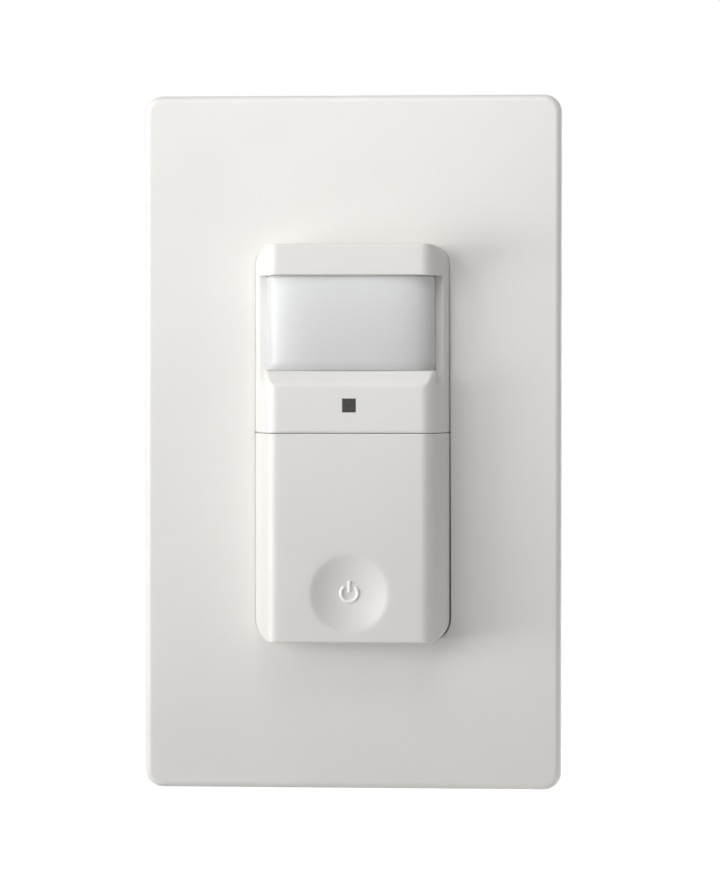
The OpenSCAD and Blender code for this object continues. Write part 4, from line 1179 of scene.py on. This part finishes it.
def rounded_end(end, inwards, radius, start):
    """Height, side inset and front inset of the rows round one end of the lens, from its lip inwards."""
    turns = [start + (math.pi / 2 - start) * i / LENS_END_STEPS for i in range(LENS_END_STEPS + 1)]
    rows = [(end + inwards * radius * (math.cos(start) - math.cos(a)), LENS_SIDE_EDGE * (1 - math.sin(a)),
             radius * (1 - math.sin(a))) for a in turns]
    return [(end - inwards * LENS_LIP, *rows[0][1:])] + rows


lens_rows = rounded_end(lens_low, 1, LENS_FOOT_EDGE, LENS_FOOT_TURN)
lens_rows += rounded_end(lens_high, -1, LENS_TOP_EDGE, LENS_TOP_TURN)[::-1]
lens_h, lens_middle = lens_high - lens_low, (lens_low + lens_high) / 2
lens_squeeze = 1 - 2 * LENS_WALL / lens_h
lens_mesh = bmesh.new()
shell(lens_mesh, [lens_row(*row) for row in lens_rows],
      [lens_row(lens_middle + (up - lens_middle) * lens_squeeze, LENS_WALL, LENS_WALL, NO_LIPS)
       for up, _, _ in lens_rows])
flat_part(lens_mesh, rectangle(0, lens_middle, lens_room.width, lens_room.height),
          [rectangle(0, lens_middle, LENS_W - 2 * LENS_WALL, lens_h - 2 * LENS_WALL)],
          lens_room.back, lens_room.back + LENS_FLANGE_T)
make_piece("milky_lens", lens_mesh, "base", "lens_milky", "lens")

# %% [markdown]
# The indicator window is the square end of a light pipe: smoked plastic that fits its hole closely and
# ends flush with the band. A lamp on the board shines into its other end. A dark square painted on the
# band would do from far off, but close by the pipe's own edge and the fine gap round it show. It is a
# short stack of rounded squares, wider where a flange stops it behind the band.

# %% Indicator window
WINDOW_CORNER, WINDOW_EDGE = 0.15, 0.08
FLANGE_BACK, FLANGE_FRONT = 11.6, 12.6


def window_row(half, out):
    """A rounded square round the light pipe."""
    return [at(x, window_up + up, out) for x, up in rounded_outline(2 * half, 2 * half, WINDOW_CORNER)]


rows = [window_row(window_half, window_room.back), window_row(window_half, FLANGE_BACK),
        window_row(window_room.right, FLANGE_BACK), window_row(window_room.right, FLANGE_FRONT),
        window_row(window_half, FLANGE_FRONT)]
rows += [window_row(window_half - inset, window_room.front - WINDOW_EDGE + rise)
         for inset, rise in edge_steps(WINDOW_EDGE)]
pipe = bmesh.new()
loft(pipe, rows)
make_piece("indicator_pipe", pipe, "base", "window_dark", "indicator_window")

# %% [markdown]
# ## Behind the pad
# With the pad off, a deck shows, with a raised panel and three setting dials, the switch that the pad
# works, two ears that carry the pivot pin, and two screw bosses. These are all flat parts. Seven grooves
# round each dial mark its travel. They could be painted on, but a groove catches the light: they are holes
# in the panel's upper layer, which end on its lower one.

# %% Deck and control panel
DECK_T = 1.4
PANEL_MARGIN_X, PANEL_MARGIN_UP, PANEL_WALL, PANEL_RISE = 1.3, 2.0, 1.0, 0.1
DIAL_GAP = 0.25
TICK_COUNT, DIAL_SWEEP = 7, 240
TICK_W, TICK_L, TICK_OFF, TICK_DEPTH = 0.3, 0.8, 0.6, 0.3
SWITCH_GAP = 0.4

deck_front = yoke_front + DECK_T
dials = {name: extent(name) for name in ("delay_dial", "range_dial", "daylight_dial")}
dial_r, dial_up = dials["range_dial"].width / 2, dials["range_dial"].up
dial_bodies, switch_room = extent("dial_bodies"), extent("tact_switch")
panel_front = dials["range_dial"].front + PANEL_RISE
panel_w, panel_h = dial_bodies.width + 2 * PANEL_MARGIN_X, dial_bodies.height + 2 * PANEL_MARGIN_UP
switch_hole = switch_room.width + 2 * SWITCH_GAP


def tick_marks(x):
    """Corners of the grooves round the dial at x."""
    for i in range(TICK_COUNT):
        turn = math.radians(90 + DIAL_SWEEP / 2 - i * DIAL_SWEEP / (TICK_COUNT - 1))
        along, across = Vector((math.cos(turn), math.sin(turn))), Vector((-math.sin(turn), math.cos(turn)))
        middle = Vector((x, dial_up)) + along * (dial_r + TICK_OFF + TICK_L / 2)
        yield [tuple(middle + along * a * TICK_L / 2 + across * b * TICK_W / 2) for a, b in CORNERS]


deck = bmesh.new()
outline = [(x, min(up, head_low + HEAD_WALL))
           for x, up in rounded_outline(insert.width, insert.height, INSERT_CORNER)]
outline = [spot for i, spot in enumerate(outline) if spot != outline[i - 1]]
flat_part(deck, outline, [rectangle(0, switch_room.up, switch_hole, switch_hole)], yoke_front, deck_front)
panel = rectangle(0, dial_up, panel_w, panel_h)
panel_hollow = rectangle(0, dial_up, panel_w - 2 * PANEL_WALL, panel_h - 2 * PANEL_WALL)
dial_holes = [circle(dial.x, dial_up, dial_r + DIAL_GAP) for dial in dials.values()]
ticks = [mark for dial in dials.values() for mark in tick_marks(dial.x)]
layers = [yoke_front, panel_front - PANEL_WALL, panel_front - TICK_DEPTH, panel_front]
for holes, low, high in zip(([panel_hollow], dial_holes, dial_holes + ticks), layers, layers[1:]):
    flat_part(deck, panel, holes, low, high)
print("grooves on the panel:", len(ticks))

# %% [markdown]
# The ears are flat parts that stand on edge, so they are drawn from the side: a round top about the pin's
# bore on straight flanks. The bosses are short tubes round the housing's lower screws. They belong to the
# same moulding as the deck, so they go into the same mesh, and one bevel rounds all the edges.

# %% Ears and bosses
EAR_X, EAR_T, EAR_R, EAR_STEPS = 12.6, 1.6, 1.6, 20
PIN_FIT, BORE_STEPS = 0.05, 24
BOSS_R, BOSS_OUT, BOSS_BORE, BOSS_SINK = 2.2, 3.2, 1.34, 0.1
CASE_SCREW_HEAD = 2.3
DECK_CUT = 0.12
SIDES = (-1, 1)

pin = extent("pivot_pin")
pin_r = pin.height / 2
case_screws = extent("housing_screws")
case_x, case_up = case_screws.right - CASE_SCREW_HEAD, case_screws.high - CASE_SCREW_HEAD
turns = [math.pi * i / EAR_STEPS for i in range(EAR_STEPS + 1)]
ear = [(pin.up + EAR_R * math.cos(turn), pin.out + EAR_R * math.sin(turn)) for turn in turns]
ear += [(pin.up - EAR_R, yoke_front), (pin.up + EAR_R, yoke_front)]
for side in SIDES:
    flat_part(deck, ear, [circle(pin.up, pin.out, pin_r + PIN_FIT, BORE_STEPS)],
              side * EAR_X - EAR_T / 2, side * EAR_X + EAR_T / 2, along_x)
    flat_part(deck, circle(side * case_x, -case_up, BOSS_R), [circle(side * case_x, -case_up, BOSS_BORE)],
              deck_front - BOSS_SINK, yoke_front + BOSS_OUT)
cut_edges(make_piece("deck_and_panel", deck, "base", "cover_white", "front_cover"), DECK_CUT)

# %% [markdown]
# The inside of the pad carries two clips that snap over the pivot pin and a post that pushes the switch.
# They are seen when the pad is off, so they belong to the pad's own body. A clip is drawn from the side:
# a block with a round seat for the pin that is open towards the wall. The post and the dimple's backing
# are turned pieces, made of rings from back to front.

# %% Clips and post of the pad
CLIP_X, CLIP_T, CLIP_HALF, CLIP_BACK, CLIP_FIT = 9.4, 2.2, 2.0, 0.4, 0.08
SEAT_STEPS = 28
BACKING_T, POST_R, POST_GAP, POST_ROUND = 1.4, 1.4, 0.08, 0.3
POST_STEPS = 32
SINK, POST_SINK = 0.2, 0.1
CLIP_CUT = 0.1


def round_bar(mesh, x, up, profile):
    """A turned piece about an axis that points out of the wall: (radius, out) pairs from back to front."""
    loft(mesh, [[at(*spot, out) for spot in circle(x, up, radius, POST_STEPS)] for radius, out in profile])


clip_back = pin.out - pin_r - CLIP_BACK
clip_front = pad_inside + SINK
seat_r, slot_half = pin_r + CLIP_FIT, pin_r + CLIP_FIT / 2
mouth = math.asin(slot_half / seat_r)
turns = [mouth + (math.tau - 2 * mouth) * i / SEAT_STEPS for i in range(SEAT_STEPS + 1)]
clip = [(pin.up + slot_half, clip_back)]
clip += [(pin.up + seat_r * math.sin(turn), pin.out - seat_r * math.cos(turn)) for turn in turns]
clip += [(pin.up - slot_half, clip_back), (pin.up - CLIP_HALF, clip_back), (pin.up - CLIP_HALF, clip_front),
         (pin.up + CLIP_HALF, clip_front), (pin.up + CLIP_HALF, clip_back)]
clips = bmesh.new()
for side in SIDES:
    flat_part(clips, clip, [], side * CLIP_X - CLIP_T / 2, side * CLIP_X + CLIP_T / 2, along_x)
backing_back = pad_inside - BACKING_T
post_end = extent("tact_plunger").front + POST_GAP
for radius, back, front in ((DIMPLE_R, backing_back, pad_inside + SINK),
                            (POST_R, post_end, backing_back + POST_SINK)):
    profile = [(radius - POST_ROUND, back), (radius, back + POST_ROUND), (radius, front)]
    round_bar(clips, 0, dimple_up, profile)
cut_edges(make_piece("pad_clips", clips, "push_pad", "pad_white"), CLIP_CUT)

# %% [markdown]
# ## Setting dials
# Three dials under the pad set the delay, the range and the daylight limit. Each is a small moulded knob
# with a fluted rim and a cross-shaped slot for a screwdriver, whose long arm points to the marks. The rim
# is a circle whose radius swings a little. The slot is a hole right through the knob, and a smaller disc
# inside closes it at the depth of the slot.

# %% Dial knobs
FLUTES, FLUTE_DEPTH, FLUTE_STEPS = 20, 0.14, 6
DIAL_SLOT, DIAL_SLOT_DEPTH, DIAL_RIM = 0.8, 0.7, 0.4
POINTER_ARM, SHORT_ARM = 2.05, 1.3
DISC_BACK = 0.01
KNOB_CUT = 0.07


def fluted_rim(x, up, radius):
    """Points round a rim with rounded flutes."""
    turns = [math.tau * i / (FLUTES * FLUTE_STEPS) for i in range(FLUTES * FLUTE_STEPS)]
    radii = [radius - FLUTE_DEPTH * math.sin(FLUTES * turn / 2) ** 2 for turn in turns]
    return [(x + r * math.cos(turn), up + r * math.sin(turn)) for r, turn in zip(radii, turns)]


def driver_slot(x, up):
    """Corners of the cross-shaped slot, with its long arm upwards."""
    half = DIAL_SLOT / 2
    arms = ((half, -SHORT_ARM), (half, -half), (SHORT_ARM, -half), (SHORT_ARM, half), (half, half),
            (half, POINTER_ARM))
    return [(x + a, up + b) for a, b in arms] + [(x - a, up + b) for a, b in reversed(arms)]


for name, dial in dials.items():
    knob = bmesh.new()
    rim, slot = fluted_rim(dial.x, dial_up, dial_r), driver_slot(dial.x, dial_up)
    disc = circle(dial.x, dial_up, dial_r - DIAL_RIM)
    flat_part(knob, rim, [slot], dial.back, dial.front)
    flat_part(knob, disc, [], dial.back + DISC_BACK, dial.front - DIAL_SLOT_DEPTH)
    cut_edges(make_piece(f"{name}_knob", knob, name, "dial_white", name), KNOB_CUT)

# %% [markdown]
# ## Screws
# Twelve screws hold the switch together and take its wires. A screw is formed from wire about one axis,
# and the screws here point in several directions. So one helper places a point by its turn round the
# axis, its radius and its depth below the screw's top, and the others build on it: a turned body is a
# stack of rings, and a slotted head is two half discs with the slot between them.

# %% Turned bodies and slotted heads
SCREW_STEPS, HALF_DISC_STEPS = 24, 14
SCREW_SLOT = 0.9


def screw_axis(top, way, spin):
    """Returns a function that places a point by its turn, its radius and its depth below a screw's top."""
    origin, axis = at(*top), at(*way).normalized()
    side = axis.orthogonal().normalized()
    across = axis.cross(side)

    def place(turn, radius, depth):
        around = side * math.cos(turn + spin) + across * math.sin(turn + spin)
        return origin + (around * radius + axis * depth) * MM
    return place


def turned(mesh, place, profile, **ends):
    """A turned body through rings of (depth, radius)."""
    loft(mesh, [[place(math.tau * i / SCREW_STEPS, radius, depth) for i in range(SCREW_STEPS)]
                for depth, radius in profile], **ends)


def half_discs(mesh, place, rows):
    """Two half discs with the slot between them: rows of (depth, radius, cut), a cut widening the slot."""
    for half in (0, math.pi):
        outlines = []
        for depth, radius, cut in rows:
            start = math.asin((SCREW_SLOT / 2 + cut) / radius)
            turns = [half + start + (math.pi - 2 * start) * i / HALF_DISC_STEPS
                     for i in range(HALF_DISC_STEPS + 1)]
            outlines.append([place(turn, radius, depth) for turn in turns])
        loft(mesh, outlines)


print(f"screws with {SCREW_STEPS} sides and a slot of {SCREW_SLOT} mm")

# %% [markdown]
# A rolled thread climbs by one pitch in each turn. A bump in the metal could suggest it, but its teeth
# show against the light, so each turn is modelled. Columns of points run down the screw, and each next
# column starts a small share of the pitch lower; after one round the last column meets the first one turn
# further.

# %% Threads
SCREW_PITCH, THREAD_DEPTH = 0.8, 0.28
CREST_END, ROOT_START, ROOT_END = 0.2, 0.45, 0.75


def thread(mesh, place, radius, start, end):
    """A rolled thread between two depths; beyond them its points fall together on the root."""
    root = radius - THREAD_DEPTH
    profile = ((0, radius), (CREST_END, radius), (ROOT_START, root), (ROOT_END, root))
    columns = []
    for i in range(SCREW_STEPS + 1):
        column = []
        for turn in range(-1, math.ceil((end - start) / SCREW_PITCH) + 1):
            for share, wide in profile:
                depth = start + (turn + share + i / SCREW_STEPS) * SCREW_PITCH
                column.append(place(math.tau * i / SCREW_STEPS, wide if start < depth < end else root,
                                    min(max(depth, start), end)))
        columns.append(new_points(mesh, column))
    for column, after in zip(columns, columns[1:]):
        join_rows(mesh, column, after)


print(f"thread of {SCREW_PITCH} mm pitch, {SCREW_STEPS} columns a turn")

# %% [markdown]
# Two kinds of screw are used: pan heads with a rounded edge and a flat underside, and flat heads that
# taper into their seat. Both have the same slot, neck, thread and blunt tip, so one function makes both.
# No two screws of a group stop at the same angle when they are driven, so each slot is turned further.

# %% Pan and flat screws
Screw = namedtuple("Screw", "head_r head_h shank_r neck flat")
HEAD_ROUND, HEAD_UNDER, FLAT_LAND = 0.5, 0.15, 0.1
TIP_H, TIP_IN = 0.8, 0.5
SCREW_SLOT_DEPTH, SLOT_FLARE = 0.8, 0.15
HALF_DISC_IN, HALF_DISC_SINK = 0.004, 0.03
FIRST_SPIN, NEXT_SPIN = 0.5, 0.9


def add_screw(mesh, place, kind, length):
    """One slotted screw from its top to its tip."""
    root = kind.shank_r - THREAD_DEPTH
    lean = (kind.head_r - root) / kind.head_h if kind.flat else 0
    slot_r = kind.head_r - lean * SCREW_SLOT_DEPTH
    rows = [(SCREW_SLOT_DEPTH + HALF_DISC_SINK, slot_r - HALF_DISC_IN, 0)]
    profile = [(SCREW_SLOT_DEPTH, slot_r)]
    if kind.flat:
        rim = kind.head_r - lean * FLAT_LAND - HALF_DISC_IN
        rows += [(FLAT_LAND, rim, 0), (0, rim - FLAT_LAND, FLAT_LAND / 2)]
    else:
        rows += [(HEAD_ROUND - rise, kind.head_r - HALF_DISC_IN - inset, inset * SLOT_FLARE)
                 for inset, rise in edge_steps(HEAD_ROUND)]
        profile += [(kind.head_h - HEAD_UNDER, slot_r), (kind.head_h, slot_r - HEAD_UNDER)]
    start, end = kind.head_h + kind.neck, length - TIP_H
    half_discs(mesh, place, rows)
    turned(mesh, place, profile + [(kind.head_h, root), (start, root)], last=False)
    thread(mesh, place, kind.shank_r, start, end)
    turned(mesh, place, [(end, root), (length, root - TIP_IN)], first=False)


cad_slots = {name: node.material_slots[0].material.name for name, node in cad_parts.items()}


def make_screws(node, kind, axes, length):
    """All the screws of one CAD piece, given by the middle of each head and the way it is driven."""
    mesh = bmesh.new()
    for number, (top, way) in enumerate(axes):
        add_screw(mesh, screw_axis(top, way, FIRST_SPIN + NEXT_SPIN * number), kind, length)
    make_piece(f"{node}_threaded", mesh, "base", cad_slots[node], node)


print("a screw has", ", ".join(Screw._fields))

# %% [markdown]
# The screws sit where the CAD model has them, so their places are taken from its pieces and not typed in.
# Box and plate screws are driven towards the wall, in pairs above and below the middle. The ground screw
# is driven from the left, the terminal screws from both sides and the housing's screws from behind. Heads,
# shanks and necks follow what such screws measure.

# %% Drive the screws
PAN_H, FLAT_H, TERMINAL_H, CASE_H = 2.2, 1.65, 2.0, 1.9
SHANK_R, CASE_SHANK_R = 1.75, 1.3
LONG_NECK, NECK, CASE_NECK = 1.6, 0.3, 0.6
TERMINAL_L = 7.0
TERMINALS = ((1, 1), (1, -1), (-1, 1))
WALL_SCREWS = {"box_screws": (PAN_H, LONG_NECK, False), "plate_screws": (FLAT_H, NECK, True)}
TO_RIGHT, INWARDS, OUTWARDS = (1, 0, 0), (0, 0, -1), (0, 0, 1)

for node, (head_h, neck, flat) in WALL_SCREWS.items():
    pair = extent(node)
    make_screws(node, Screw(pair.right, head_h, SHANK_R, neck, flat),
                [((0, end * (pair.high - pair.right), pair.front), INWARDS) for end in SIDES], pair.depth)
ground = extent("ground_screw")
ground_r = ground.height / 2
make_screws("ground_screw", Screw(ground_r, PAN_H, SHANK_R, NECK, False),
            [((ground.left, ground.low + ground_r, ground.back + ground_r), TO_RIGHT)], ground.width)
terminal = extent("terminal_screws")
terminal_r = terminal.depth / 2
make_screws("terminal_screws", Screw(terminal_r, TERMINAL_H, SHANK_R, NECK, False),
            [((side * terminal.right, end * (terminal.high - terminal_r), terminal.back + terminal_r),
              (-side, 0, 0)) for side, end in TERMINALS], TERMINAL_L)
make_screws("housing_screws", Screw(CASE_SCREW_HEAD, CASE_H, CASE_SHANK_R, CASE_NECK, False),
            [((side * case_x, end * case_up, case_screws.back), OUTWARDS) for side in SIDES for end in SIDES],
            case_screws.depth)

# %% [markdown]
# ## The pieces that keep their CAD shape
# The yoke, the snap frame, the housing and everything on the two boards have their right shape already
# and only need their finish. No real edge is perfectly sharp, though: a narrow bevel catches a line of
# light. The CAD surface comes as triangles, so it is first welded and its flat faces are joined again,
# because a bevel would otherwise follow the triangles too. Pieces deep inside are left as they are.

# %% Finish the CAD pieces
ROUNDED = {"rear_housing": 0.3, "snap_frame": 0.2, "yoke": 0.14, "terminal_strips": 0.1,
           "terminal_clamps": 0.1, "tact_switch": 0.1, "dial_bodies": 0.12, "control_board": 0.08,
           "lens_retainer": 0.15, "relay": 0.2, "film_capacitor": 0.3, "rectifier": 0.15, "fuse": 0.2}
WELD_GAP = 0.002
FLAT_ANGLE, CAD_EDGE_ANGLE = math.radians(1), math.radians(40)


def round_cad_edges(node, width):
    """Welds a CAD piece, joins its flat faces, and bevels its sharp edges."""
    node.modifiers.new("weld", "WELD").merge_threshold = WELD_GAP * MM
    flat = node.modifiers.new("flat_faces", "DECIMATE")
    flat.decimate_type = "DISSOLVE"
    flat.angle_limit = FLAT_ANGLE
    bevel_edges(node, width, CAD_EDGE_ANGLE).use_clamp_overlap = False
    node.modifiers.new("even_normals", "WEIGHTED_NORMAL").keep_sharp = True


for name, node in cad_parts.items():
    node.material_slots[0].material = finishes[cad_slots[name]]
    if name in ROUNDED:
        round_cad_edges(node, ROUNDED[name])
print("CAD pieces with rounded edges:", len(ROUNDED))
